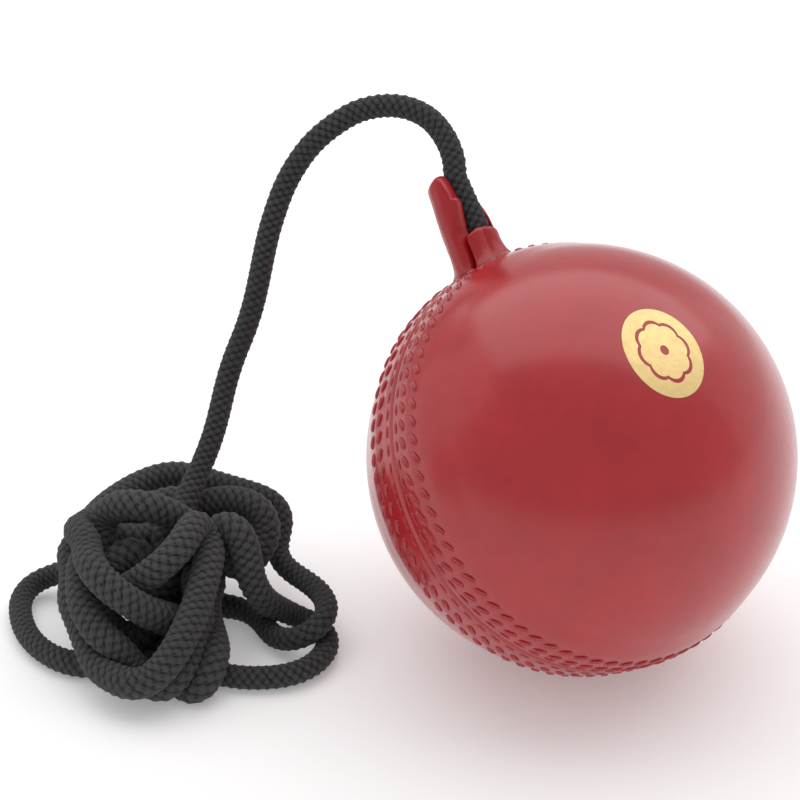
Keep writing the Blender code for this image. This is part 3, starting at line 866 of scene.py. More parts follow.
@dataclass(frozen=True)
class BallAxes:
    """The ball's middle, its bore, the level line across it, and the seam's normal."""

    centre: Vector
    bore: Vector
    across: Vector
    front: Vector

    @classmethod
    def from_joint(cls, name: str) -> "BallAxes":
        """Read the axes from the joint that the ball turns on.

        Args:
            name: Name of the joint.

        Returns:
            The axes.
        """
        joint = joint_named(name)
        bore = Vector(joint["axis"]).normalized()
        across = Vector((0.0, 0.0, 1.0)).cross(bore).normalized()
        return cls(Vector(joint["pos_m"]), bore, across, bore.cross(across))

    def along_bore(self, height: float) -> Vector:
        """A point on the bore's axis, by its height from the middle."""
        return self.centre + self.bore * height

    def seam_place(self) -> Matrix:
        """From a bench where the seam lies level, bore along +X, front cover up."""
        return self._place(self.bore, self.across, self.front)

    def bore_place(self) -> Matrix:
        """From a bench where the bore stands upright and the front cover is towards -X."""
        return self._place(-self.front, self.across, self.bore)

    def _place(self, x_axis: Vector, y_axis: Vector, z_axis: Vector) -> Matrix:
        """The matrix with these axes about the ball's middle."""
        turn = Matrix((x_axis, y_axis, z_axis)).transposed().to_4x4()
        return Matrix.Translation(self.centre) @ turn


def joint_named(name: str) -> dict[str, Any]:
    """The frame's joint of a name."""
    return next(joint for joint in frame["joints"] if joint["name"] == name)


# --- Studio ---


@dataclass(frozen=True)
class Softbox:
    """A rectangular lamp with an even, wide face."""

    name: str
    place: Triple
    aim: Triple
    size: Pair
    watts: float

    def add(self) -> None:
        """Hang the lamp."""
        lamp = bpy.data.lights.new(self.name, "AREA")
        lamp.shape = "RECTANGLE"
        lamp.size, lamp.size_y = self.size
        lamp.energy = self.watts
        obj = bpy.data.objects.new(self.name, lamp)
        bpy.context.scene.collection.objects.link(obj)
        obj.location = self.place
        facing = Vector(self.aim) - Vector(self.place)
        obj.rotation_euler = facing.to_track_quat("-Z", "Y").to_euler()


@dataclass
class Studio:
    """Camera, floor and lamps."""

    camera_place: Triple = (-0.0303, -0.2802, 0.1959)
    camera_elevation: float = 28.0
    camera_lens: float = 86.1
    camera_sensor: float = 36.0
    nearest_seen: float = 0.01
    floor_size: float = 5.0
    floor_parts: int = 8
    ambient: float = 0.57
    lamps: tuple[Softbox, ...] = (
        Softbox("overhead", (0.05, 0.30, 0.80), (0.0, 0.0, 0.03), (1.6, 1.0), 5.9),
        Softbox("right_panel", (0.75, 0.35, 0.30), (0.0, 0.0, 0.04), (0.9, 1.0), 0.8),
        Softbox("left_panel", (-0.80, 0.10, 0.35), (-0.02, 0.0, 0.03), (0.6, 0.8), 0.6),
    )

    def add_camera(self) -> None:
        """Set the camera down and make it the scene's."""
        lens = bpy.data.cameras.new("camera")
        lens.lens = self.camera_lens
        lens.sensor_width = self.camera_sensor
        lens.clip_start = self.nearest_seen
        camera = bpy.data.objects.new("camera", lens)
        bpy.context.scene.collection.objects.link(camera)
        camera.location = self.camera_place
        camera.rotation_euler = (math.radians(90.0 - self.camera_elevation), 0.0, 0.0)
        bpy.context.scene.camera = camera

    def add_floor(self) -> None:
        """Lay the floor."""
        Bench.clear()
        bpy.ops.mesh.primitive_grid_add(
            x_subdivisions=self.floor_parts, y_subdivisions=self.floor_parts,
            size=self.floor_size, location=(0.0, 0.0, 0.0))
        floor = Bench.named("floor")
        floor.data.materials.append(PaleFloor().material())

    def add_light(self) -> None:
        """Soft even surroundings and the lamps."""
        world = bpy.data.worlds.new("surroundings")
        world.use_nodes = True
        background = world.node_tree.nodes["Background"]
        background.inputs["Color"].default_value = (1.0, 1.0, 1.0, 1.0)
        background.inputs["Strength"].default_value = self.ambient
        bpy.context.scene.world = world
        bpy.context.scene.view_settings.view_transform = "Standard"
        for lamp in self.lamps:
            lamp.add()


# --- Cord ---


class Lay(Enum):
    """How tightly a stretch of the cord is pressed by its neighbours."""

    FREE = 0.0
    BUNDLED = 1.0
    PACKED = 1.8


# The free cord in millimetres, stretch by stretch, from the sleeve's mouth to its far end
ROUTE: dict[str, tuple[Lay, tuple[Triple, ...]]] = {
    # out of the sleeve, over the top and down to the hank
    "arch": (Lay.FREE, (
        (-20.9, 25.4, 76.3), (-21.2, 27.3, 79.1), (-22.6, 29.5, 82.0), (-25.2, 31.6, 84.6),
        (-28.9, 33.2, 86.0), (-33.0, 34.4, 86.0), (-37.5, 35.0, 84.8), (-41.8, 34.8, 82.3),
        (-45.5, 34.2, 79.2), (-48.4, 33.4, 75.5), (-50.5, 32.6, 71.8), (-52.1, 31.6, 67.8),
        (-53.4, 30.6, 63.8), (-54.4, 29.6, 59.7), (-55.3, 28.5, 55.6), (-56.4, 27.3, 51.3),
        (-57.9, 25.9, 47.0), (-59.8, 24.3, 42.7), (-61.4, 22.5, 38.0), (-62.5, 20.5, 33.8),
        (-63.8, 18.1, 29.7), (-65.4, 15.4, 26.2), (-67.0, 12.4, 23.4), (-68.5, 9.0, 20.8))),
    # down through the hank, once round inside it, and up across its front
    "hank_core": (Lay.PACKED, (
        (-70.0, 5.6, 18.6), (-71.6, 2.8, 15.8), (-72.0, 1.0, 11.8), (-73.4, -1.8, 8.0),
        (-74.4, -7.2, 5.2), (-77.8, -10.2, 5.8), (-81.2, -8.2, 8.6), (-82.4, -5.0, 12.0),
        (-80.6, -2.0, 14.8), (-77.0, 0.2, 16.4), (-74.0, 1.0, 14.0), (-72.0, 2.0, 8.4),
        (-70.6, -0.6, 5.0), (-68.2, -6.0, 5.6), (-68.0, -10.0, 9.4))),
    "hank_sash": (Lay.BUNDLED, (
        (-70.4, -12.0, 11.6), (-73.0, -13.4, 14.0), (-76.6, -13.8, 17.0), (-79.8, -12.4, 19.2),
        (-82.0, -9.6, 20.2), (-83.4, -5.6, 20.2), (-84.0, -0.4, 19.8))),
    # high behind the hank
    "rear_loop": (Lay.BUNDLED, (
        (-84.2, 5.6, 18.8), (-83.4, 10.2, 18.0), (-81.2, 13.2, 16.8), (-77.4, 15.0, 16.0),
        (-73.0, 17.0, 17.0), (-68.2, 17.6, 16.8), (-62.4, 17.2, 15.0), (-58.8, 14.8, 13.4),
        (-60.2, 11.0, 11.5), (-65.0, 5.4, 11.0))),
    # two turns of the hank
    "hank_middle_turn": (Lay.BUNDLED, (
        (-65.0, -1.4, 12.0), (-65.0, -6.0, 10.4), (-64.6, -11.0, 9.0), (-64.6, -14.8, 7.6),
        (-65.8, -18.2, 5.6), (-68.4, -20.4, 4.0), (-71.6, -20.0, 3.6), (-74.6, -17.6, 5.0),
        (-77.2, -17.4, 7.6), (-79.8, -16.6, 10.2), (-82.2, -14.2, 12.6), (-84.0, -10.8, 14.6),
        (-84.6, -6.0, 16.2), (-84.4, -0.6, 17.6))),
    "hank_back_turn": (Lay.BUNDLED, (
        (-83.0, 3.4, 20.8), (-80.2, 3.2, 23.6), (-77.4, 2.0, 25.4), (-74.6, 1.2, 25.8),
        (-71.6, 1.6, 24.6), (-68.4, 2.6, 22.0), (-66.0, 4.0, 17.6), (-65.4, 3.0, 12.8),
        (-64.8, 0.8, 9.4), (-64.0, -4.0, 7.4), (-63.0, -9.4, 6.8), (-62.2, -15.0, 6.4),
        (-63.0, -19.0, 4.4), (-65.4, -19.8, 2.4), (-68.8, -16.6, 2.2), (-73.0, -12.8, 2.4),
        (-77.4, -12.2, 2.2), (-81.4, -12.4, 2.2))),
    # out on the floor to the left, and back behind the hank to its right side
    "left_loop": (Lay.FREE, (
        (-85.6, -12.2, 2.2), (-90.0, -10.0, 2.2), (-94.6, -5.0, 2.2), (-97.6, 1.8, 2.2),
        (-98.4, 8.0, 2.4), (-96.4, 12.2, 3.0), (-92.4, 12.8, 4.4), (-88.4, 11.4, 7.4))),
    "behind_hank": (Lay.BUNDLED, (
        (-84.0, 9.4, 12.0), (-80.0, 8.6, 14.8), (-75.6, 8.4, 14.4), (-72.0, 10.6, 15.8),
        (-68.6, 12.4, 17.0), (-65.4, 13.6, 18.4), (-62.0, 13.8, 19.2), (-58.8, 13.4, 19.2),
        (-55.8, 12.2, 18.4), (-54.2, 10.6, 16.0), (-54.8, 8.4, 13.4), (-57.0, 6.2, 11.4))),
    "hank_curl": (Lay.BUNDLED, (
        (-59.8, 4.2, 11.6), (-62.2, 3.2, 14.0), (-62.8, 3.2, 17.4))),
    # down over the hank's right side and along the floor in front
    "hank_shoulder": (Lay.BUNDLED, (
        (-61.2, 2.2, 20.4), (-58.6, 1.0, 21.0), (-57.0, -1.0, 18.0), (-56.0, -2.6, 13.4),
        (-54.2, -2.4, 9.2))),
    "front_loop": (Lay.FREE, (
        (-51.6, -0.2, 5.6), (-48.4, 1.4, 2.6), (-45.0, -0.6, 2.2), (-42.9, -5.6, 2.2),
        (-44.4, -11.2, 2.2), (-48.2, -14.8, 2.2), (-52.6, -16.0, 2.2), (-57.0, -16.0, 2.2),
        (-61.0, -14.8, 2.2), (-65.0, -12.0, 2.2))),
    "hank_underside": (Lay.PACKED, (
        (-69.0, -8.4, 2.2), (-73.2, -6.4, 2.2), (-74.6, 0.4, 2.2), (-72.0, 4.8, 2.2),
        (-68.0, 6.2, 2.2))),
    # out on the floor to the right, up, and round behind everything
    "right_loop": (Lay.FREE, (
        (-63.6, 5.6, 2.2), (-59.0, 4.6, 2.2), (-55.2, 1.2, 2.2), (-52.6, -3.6, 2.2),
        (-49.4, -6.8, 3.6), (-46.0, -7.6, 5.4), (-43.4, -5.0, 6.8), (-43.8, 1.0, 7.0),
        (-46.6, 5.6, 7.0), (-50.0, 9.4, 7.2), (-52.4, 12.8, 8.4), (-52.2, 15.8, 10.6),
        (-51.8, 18.6, 13.2), (-54.0, 20.6, 15.0), (-57.6, 22.0, 15.8))),
    "rear_turn": (Lay.BUNDLED, (
        (-62.0, 23.2, 16.4), (-66.6, 24.2, 17.2), (-71.6, 24.8, 18.0), (-76.6, 23.2, 17.6),
        (-81.0, 20.0, 16.6), (-84.6, 15.4, 15.6), (-86.2, 9.2, 15.0), (-86.8, 2.8, 14.2),
        (-86.6, -3.2, 12.6))),
    # the front turn of the hank, and the end tucked inside
    "hank_front_turn": (Lay.BUNDLED, (
        (-85.6, -7.8, 11.0), (-83.9, -12.2, 9.0), (-81.6, -16.6, 7.2), (-78.2, -20.4, 6.0),
        (-74.6, -23.2, 6.0), (-71.0, -22.8, 7.2), (-68.2, -20.6, 9.6), (-66.0, -16.8, 12.2),
        (-64.4, -12.4, 14.6), (-63.4, -8.0, 17.0), (-63.0, -3.2, 18.8), (-63.8, 0.4, 20.8),
        (-65.4, -1.2, 23.0), (-66.8, -5.4, 22.8), (-69.4, -8.6, 21.0), (-73.0, -9.0, 18.0),
        (-76.4, -7.4, 14.6), (-80.0, -3.2, 11.0), (-83.4, 1.0, 11.0), (-84.6, 3.4, 13.2),
        (-84.0, 4.2, 15.8), (-81.6, 3.6, 17.6))),
}


@dataclass
class CordLine:
    """The cord's centreline, from the stopper knot to the far end, at even steps."""

    axes: BallAxes
    diameter: float = 0.004
    knot_height: float = -0.0088
    mouth_height: float = 0.052
    step: float = 0.001
    spacing: float = 0.0041
    own_reach: float = 2.2
    rounds: int = 250
    stretch_rounds: int = 2
    held_steps: int = 60
    fade_steps: int = 17
    bend_share: float = 0.35
    home_share: float = 0.02
    push_share: float = 0.25
    push_gain: float = 1.6
    pull_share: float = 0.25
    places: np.ndarray = field(init=False)
    pressed: np.ndarray = field(init=False)
    distance: np.ndarray = field(init=False)

    def __post_init__(self) -> None:
        """Draw the route through its points, settle it, and add the straight part in the bore."""
        points = np.array([point for _, stretch in ROUTE.values() for point in stretch]) * MM
        lays = np.array([lay.value for lay, stretch in ROUTE.values() for _ in stretch])
        free = self.even(self.curve(points))
        nearest = np.linalg.norm(free[:, None] - points[None], axis=2).argmin(axis=1)
        window = np.ones(self.fade_steps) / self.fade_steps
        padded = np.pad(lays[nearest], self.fade_steps // 2, mode="edge")
        count = round((self.mouth_height - self.knot_height) / self.step)
        heights = np.linspace(self.knot_height, self.mouth_height, count + 1)[:-1]
        inner = np.array([self.axes.along_bore(height) for height in heights])
        self.places = np.vstack([inner, self.settle(free)])
        self.pressed = np.concatenate([np.zeros(count), np.convolve(padded, window, "valid")])
        self.distance = travelled(self.places)
        self.distance -= self.distance[count]

    @staticmethod
    def curve(points: np.ndarray, samples: int = 12) -> np.ndarray:
        """A smooth curve through points: centripetal Catmull-Rom.

        Args:
            points: The points, one row each.
            samples: Places per stretch between two points.

        Returns:
            The curve's places.
        """
        ends = np.vstack([2 * points[0] - points[1], points, 2 * points[-1] - points[-2]])
        roots = np.linalg.norm(np.diff(ends, axis=0), axis=1) ** 0.5
        knots = np.concatenate([[0.0], np.cumsum(roots)])
        rows = []
        for index in range(1, len(ends) - 2):
            p0, p1, p2, p3 = ends[index - 1:index + 3]
            t0, t1, t2, t3 = knots[index - 1:index + 3]
            t = (t1 + (t2 - t1) * np.arange(samples) / samples)[:, None]
            a1 = ((t1 - t) * p0 + (t - t0) * p1) / (t1 - t0)
            a2 = ((t2 - t) * p1 + (t - t1) * p2) / (t2 - t1)
            a3 = ((t3 - t) * p2 + (t - t2) * p3) / (t3 - t2)
            b1 = ((t2 - t) * a1 + (t - t0) * a2) / (t2 - t0)
            b2 = ((t3 - t) * a2 + (t - t1) * a3) / (t3 - t1)
            rows.append(((t2 - t) * b1 + (t - t1) * b2) / (t2 - t1))
        return np.vstack([*rows, points[-1:]])

    def even(self, curve: np.ndarray) -> np.ndarray:
        """The same curve in even steps.

        Args:
            curve: Places along the curve.

        Returns:
            Places a step apart.
        """
        lengths = travelled(curve)
        count = round(lengths[-1] / self.step)
        return read_at(np.linspace(0.0, lengths[-1], count + 1), lengths, curve)

    def settle(self, start: np.ndarray) -> np.ndarray:
        """Ease the cord's turns apart until they lie on each other, with its length kept.

        Args:
            start: The cord's places before it settles.

        Returns:
            The settled places.
        """
        places = start.copy()
        count = len(places)
        pairs = np.triu_indices(count, math.ceil(self.own_reach * self.spacing / self.step))
        for _ in range(self.rounds):
            lift = np.zeros_like(places)
            lift[1:-1] = (places[:-2] + places[2:]) / 2 - places[1:-1]
            bend = lift[1:-1] - (lift[:-2] + lift[2:]) / 2
            places[2:-2] += self.bend_share * bend[1:-1]
            places += self.home_share * (start - places)
            self.push_apart(places, *pairs)
            for _ in range(self.stretch_rounds):
                along = places[1:] - places[:-1]
                size = np.linalg.norm(along, axis=1)
                pull = self.pull_share * ((size - self.step) / size)[:, None] * along
                places[:-1] += pull
                places[1:] -= pull
            places[:, 2] = np.maximum(places[:, 2], self.diameter / 2)
            places[:self.held_steps] = start[:self.held_steps]
        return places

    def push_apart(self, places: np.ndarray, first: np.ndarray, second: np.ndarray) -> None:
        """Move places that lie in one another's space a little apart.

        Args:
            places: The cord's places, which are moved.
            first: Index of one place of each pair that may touch.
            second: Index of the other.
        """
        apart = places[second] - places[first]
        distance = np.sqrt((apart ** 2).sum(axis=1))
        close = distance < self.spacing
        one, other = first[close], second[close]
        share = (self.spacing - distance[close]) / np.maximum(distance[close], TINY)
        push = self.push_share * share[:, None] * apart[close]
        moved = np.zeros_like(places)
        touches = np.zeros(len(places))
        for places_pushed, way in ((one, -push), (other, push)):
            np.add.at(moved, places_pushed, way)
            np.add.at(touches, places_pushed, 1)
        places += self.push_gain * moved / np.maximum(1, touches)[:, None]

    def at(self, distance: float) -> Vector:
        """The centre of the cord at a distance from the sleeve's mouth."""
        return Vector(read_at(np.array([distance]), self.distance, self.places)[0])


@dataclass
class CordSurface:
    """The cord's braided outside: rings of points round the centreline."""

    line: CordLine
    sides: int = 36
    ring_step: float = 0.00032
    line_samples: int = 4
    centre_rounds: int = 6
    strands: int = 6
    lay_length: float = 0.00145
    relief: float = 0.00036
    strand_shape: Pair = (0.75, 0.55)
    mean_crown: float = 0.62
    free_radius: float = 0.00197
    bundled_radius: float = 0.00262
    least_radius: float = 0.00155
    joint_gap: float = 0.00002
    own_reach: float = 1.9
    side_reach: float = 0.001
    least_lean: float = 0.12
    smoothing_rounds: int = 2
    no_limit: float = 1.0
    cap_angles: tuple[float, ...] = (22.0, 42.0, 60.0, 74.0, 84.0)
    cap_height: float = 0.0016
    cap_crown: float = 0.8
    cap_lay: float = 0.12
    centres: np.ndarray = field(init=False)
    rings: np.ndarray = field(init=False)
    crown: np.ndarray = field(init=False)
    distance: np.ndarray = field(init=False)

    def __post_init__(self) -> None:
        """Shape the sections where the turns press on each other, then plait the surface."""
        line = self.line
        angles = np.arange(self.sides) * math.tau / self.sides
        first, last = line.distance[0], line.distance[-1]
        self.distance = np.arange(first, last, self.ring_step)
        smooth = line.curve(line.places, self.line_samples)
        self.centres = read_at(self.distance, travelled(smooth) + first, smooth)
        for _ in range(self.centre_rounds):
            self.centres = softened(self.centres)
        spokes = self.spokes(self.centres, angles)
        coarse = max(1, round(line.step / self.ring_step))
        nodes = self.distance[::coarse]
        radius = self.pressed_radius(self.centres[::coarse], spokes[::coarse],
                                     np.interp(nodes, line.distance, line.pressed))
        self.crown = self.plait(angles)
        radius = read_at(self.distance, nodes, radius) + self.relief * (self.crown - self.mean_crown)
        self.rings = self.centres[:, None] + spokes * radius[:, :, None]

    @staticmethod
    def spokes(centres: np.ndarray, angles: np.ndarray) -> np.ndarray:
        """Directions round each ring that never twist against the ring before.

        Args:
            centres: The rings' centres.
            angles: The angles of the spokes.

        Returns:
            Unit vectors, ring by ring and spoke by spoke.
        """
        tangents = np.gradient(centres, axis=0)
        tangents /= np.linalg.norm(tangents, axis=1)[:, None]
        side = np.cross(tangents[0], (0.0, 0.0, 1.0))
        side /= np.linalg.norm(side)
        frames = np.empty((len(centres), len(angles), 3))
        for index, tangent in enumerate(tangents):
            side = side - tangent * (side @ tangent)
            side = side / np.linalg.norm(side)
            up = np.cross(tangent, side)
            frames[index] = np.cos(angles)[:, None] * side + np.sin(angles)[:, None] * up
        return frames

    def pressed_radius(self, centres: np.ndarray, spokes: np.ndarray,
                       pressed: np.ndarray) -> np.ndarray:
        """The smooth section of each ring: full where it is free, flat where it is pressed.

        Args:
            centres: Ring centres, about a millimetre apart.
            spokes: Spokes of those rings.
            pressed: How tightly each ring is bundled: 0 for a free one.

        Returns:
            The radius at each spoke.
        """
        full = self.free_radius + (self.bundled_radius - self.free_radius) * pressed
        radius = np.repeat(full[:, None], self.sides, axis=1)
        skip = math.ceil(self.own_reach * self.line.diameter / self.line.step)
        reach = 2 * self.bundled_radius + self.side_reach
        for index, centre in enumerate(centres):
            away = centres - centre
            size = np.linalg.norm(away, axis=1)
            near = (size < reach) & (np.abs(np.arange(len(centres)) - index) >= skip)
            if near.any():
                towards = away[near] / size[near][:, None]
                share = full[index] / (full[index] + full[near])
                room = self.room(spokes[index] @ towards.T, size[near] * share - self.joint_gap)
                radius[index] = np.minimum(radius[index], room.min(axis=1))
        room = self.room(-spokes[:, :, 2], centres[:, None, 2] - self.relief)
        radius = np.minimum(radius, room)
        for _ in range(self.smoothing_rounds):
            radius = softened((np.roll(radius, 1, axis=1) + 2 * radius
                               + np.roll(radius, -1, axis=1)) / 4)
        return np.maximum(radius, self.least_radius)

    def room(self, lean: np.ndarray, distance: np.ndarray) -> np.ndarray:
        """How long a spoke can be before it meets a flat.

        Args:
            lean: How far each spoke points towards the flat, as a cosine.
            distance: How far the flat lies from the ring's centre.

        Returns:
            The longest radius of each spoke.
        """
        longest = distance / np.maximum(lean, self.least_lean)
        longest[lean < self.least_lean] = self.no_limit
        return longest

    def plait(self, angles: np.ndarray) -> np.ndarray:
        """Height of the plait at each point of each ring.

        Args:
            angles: The angles of the points.

        Returns:
            The height, 0 in the gaps and 1 on a strand's back.
        """
        turn = angles[None] * self.strands / math.tau
        along = self.distance[:, None] / self.lay_length
        left, right = turn + along, turn - along
        over = (np.floor(left) + np.floor(right)) % 2 < 0.5
        left_part = left - np.floor(left)
        right_part = right - np.floor(right)
        across = np.where(over, left_part, right_part)
        lengthwise = np.where(over, right_part, left_part)
        wide, long = self.strand_shape
        return (np.sin(math.pi * across) ** wide) * (np.sin(math.pi * lengthwise) ** long)

    def piece(self, name: str, start: float, end: float, closed_end: bool = False,
              closed_start: bool = False) -> tuple[bpy.types.Object, np.ndarray]:
        """A stretch of the cord as a mesh tube.

        Args:
            name: Name of the piece.
            start: Where it starts, from the sleeve's mouth.
            end: Where it ends.
            closed_end: Whether to round and close its end.
            closed_start: Whether to close its start.

        Returns:
            The piece, and the ring centres that it follows.
        """
        first, last = (int(place) for place in np.searchsorted(self.distance, (start, end)))
        part = slice(first, min(len(self.distance) - 1, last) + 1)
        rings, crown, centres = self.rings[part], self.crown[part], self.centres[part]
        along = self.distance[part] / self.lay_length
        if closed_end:
            rings, crown, along = self.rounded(rings, crown, centres, along)
        corners = list(range(self.sides))
        caps = []
        if closed_start:
            caps.append(corners[::-1])
        if closed_end:
            caps.append([(len(rings) - 1) * self.sides + corner for corner in corners])
        mesh = bpy.data.meshes.new(name)
        mesh.from_pydata(rings.reshape(-1, 3).tolist(), [], self.tube(len(rings)).tolist() + caps)
        self.map_plait(mesh, along)
        mesh.validate()
        mesh.shade_smooth()
        obj = Bench.shown(name, mesh)
        Bench.edit(obj)
        bpy.ops.mesh.normals_make_consistent(inside=False)
        Bench.done()
        Bench.mark(obj, "crown", crown.ravel())
        # Painted light: the yarn is drawn paler where the turns lie bundled
        rubbed = np.interp(along * self.lay_length, self.line.distance, self.line.pressed)
        Bench.mark(obj, "rubbed", np.repeat(np.minimum(rubbed, 1.0), self.sides))
        return obj, centres

    def tube(self, count: int) -> np.ndarray:
        """The faces between rings of points.

        Args:
            count: How many rings there are.

        Returns:
            Four corners a face, ring by ring.
        """
        corner = np.arange(self.sides)
        following = (corner + 1) % self.sides
        base = (np.arange(count - 1) * self.sides)[:, None]
        return np.stack([base + corner, base + following, base + self.sides + following,
                         base + self.sides + corner], axis=2).reshape(-1, 4)

    def map_plait(self, mesh: bpy.types.Mesh, along: np.ndarray) -> None:
        """Give a tube a UV map that counts the strands: round it, and along it.

        Args:
            mesh: The tube, its caps last.
            along: Count of the lays at each ring.
        """
        turns = np.arange(self.sides + 1) * self.strands / self.sides
        near, far = along[:-1], along[1:]
        plaits = np.empty((len(near), self.sides, 4, 2))
        plaits[..., 0] = np.stack([turns[:-1], turns[1:], turns[1:], turns[:-1]], axis=1)[None]
        plaits[..., 1] = np.stack([near, near, far, far], axis=1)[:, None]
        flat = plaits.reshape(-1, 2)
        caps = np.zeros((len(mesh.loops) - len(flat), 2))
        layer = mesh.uv_layers.new(name="plait")
        layer.data.foreach_set("uv", np.vstack([flat, caps]).ravel())

    def rounded(self, rings: np.ndarray, crown: np.ndarray, centres: np.ndarray,
                along: np.ndarray) -> tuple[np.ndarray, np.ndarray, np.ndarray]:
        """Add rings that round off the cord's far end.

        Args:
            rings: The cord's rings.
            crown: Height of the plait on them.
            centres: Their centres.
            along: Count of the lays at each.

        Returns:
            The rings, the heights and the counts, with those of the round end.
        """
        ahead = centres[-1] - centres[-4]
        ahead = ahead / np.linalg.norm(ahead)
        spokes = rings[-1] - centres[-1]
        for angle in np.radians(self.cap_angles):
            centre = centres[-1] + ahead * (math.sin(angle) * self.cap_height)
            rings = np.concatenate([rings, (centre + spokes * math.cos(angle))[None]])
            crown = np.concatenate([crown, crown[-1:] * self.cap_crown])
            along = np.append(along, along[-1] + self.cap_lay)
        return rings, crown, along


@dataclass
class TetherCord:
    """The cord: its free part, its neck in the sleeve's mouth, and its part in the ball."""

    axes: BallAxes
    length: float = 0.82
    main_start: float = 0.014
    neck_start: float = 0.004
    margin: float = 0.001

    def build(self) -> None:
        """Make the three pieces and the finish that they share."""
        line = CordLine(self.axes)
        surface = CordSurface(line)
        finish = BlackBraid().material()
        end = line.distance[-1]
        main, path = surface.piece("braided_cord", self.main_start, end, closed_end=True)
        neck, _ = surface.piece("braided_neck", self.neck_start, self.main_start)
        inner, _ = surface.piece("braided_tether", line.distance[0], self.neck_start,
                                 closed_start=True)
        for piece in (main, neck, inner):
            Bench.dress(piece, finish, Slot.BLACK_BRAID)
        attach(main, "cord")
        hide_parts("cord_arch", "cord_hank", "cord_rear_loop", "cord_left_loop",
                    "cord_front_loop", "cord_right_loop")
        tuple(line.at(self.main_start - self.margin))
        tuple(line.at(self.neck_start + self.margin))
        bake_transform(neck)
        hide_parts("cord_neck")
        reach = self.neck_start - self.margin
        tuple(self.axes.along_bore(line.mouth_height + reach))
        tuple(self.axes.along_bore(line.mouth_height - reach))
        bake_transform(inner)
        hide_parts("cord_inner")
        LOG.info("braided_cord: %d rings, %.3f m free", len(path), end)


# --- Ball: covers, seam and stitches ---


class Cover(Enum):
    """The ball's two leather cups, and the side of the seam that each is on."""

    FRONT = 1
    REAR = -1

    @property
    def side(self) -> str:
        """The side in a word, as the pieces' names have it."""
        return self.name.lower()


@dataclass(frozen=True)
class SeamPlan:
    """The sewn band: where its rows run and how the hide lies along them."""

    radius: float = 0.036
    band_rise: float = 0.0004
    band_flat: float = math.radians(11.0)
    band_edge: float = math.radians(21.0)
    front_rows: Triple = (0.00125, 0.00300, 0.00570)
    rear_rows: Triple = (0.00150, 0.00450, 0.00740)
    stitches: int = 76
    tilts: Triple = (0.10, 0.60, 0.60)
    stitch_length: float = 0.0025
    seam_gap: float = 0.0001
    # The sleeve's foot: how far its middle lies from the bore's axis, at what angle round it in
    # degrees, and how near to that middle no stitch stands
    foot_offset: float = 0.0026
    foot_angle: float = 57.6
    foot_radius: float = 0.0062

    def rise(self, latitude: np.ndarray) -> np.ndarray:
        """How far the band stands above the plain ball."""
        fall = (np.abs(latitude) - self.band_flat) / (self.band_edge - self.band_flat)
        return self.band_rise * (1.0 - ease(fall))

    def rows(self, cover: Cover) -> Triple:
        """How far a cup's rows lie from the seam."""
        return self.front_rows if cover is Cover.FRONT else self.rear_rows

    def clear_of_foot(self, side: int, offset: float, angle: float) -> bool:
        """Whether a stitch stays clear of the sleeve's foot.

        Args:
            side: 1 in front of the seam and -1 behind it.
            offset: How far the stitch lies from the seam.
            angle: Its angle round the seam.

        Returns:
            True where it does.
        """
        if math.cos(angle) < 0.0:
            return True
        bearing = math.radians(self.foot_angle)
        away_x = side * offset + self.foot_offset * math.cos(bearing)
        away_y = self.radius * math.sin(angle) - self.foot_offset * math.sin(bearing)
        return math.hypot(away_x, away_y) > self.foot_radius


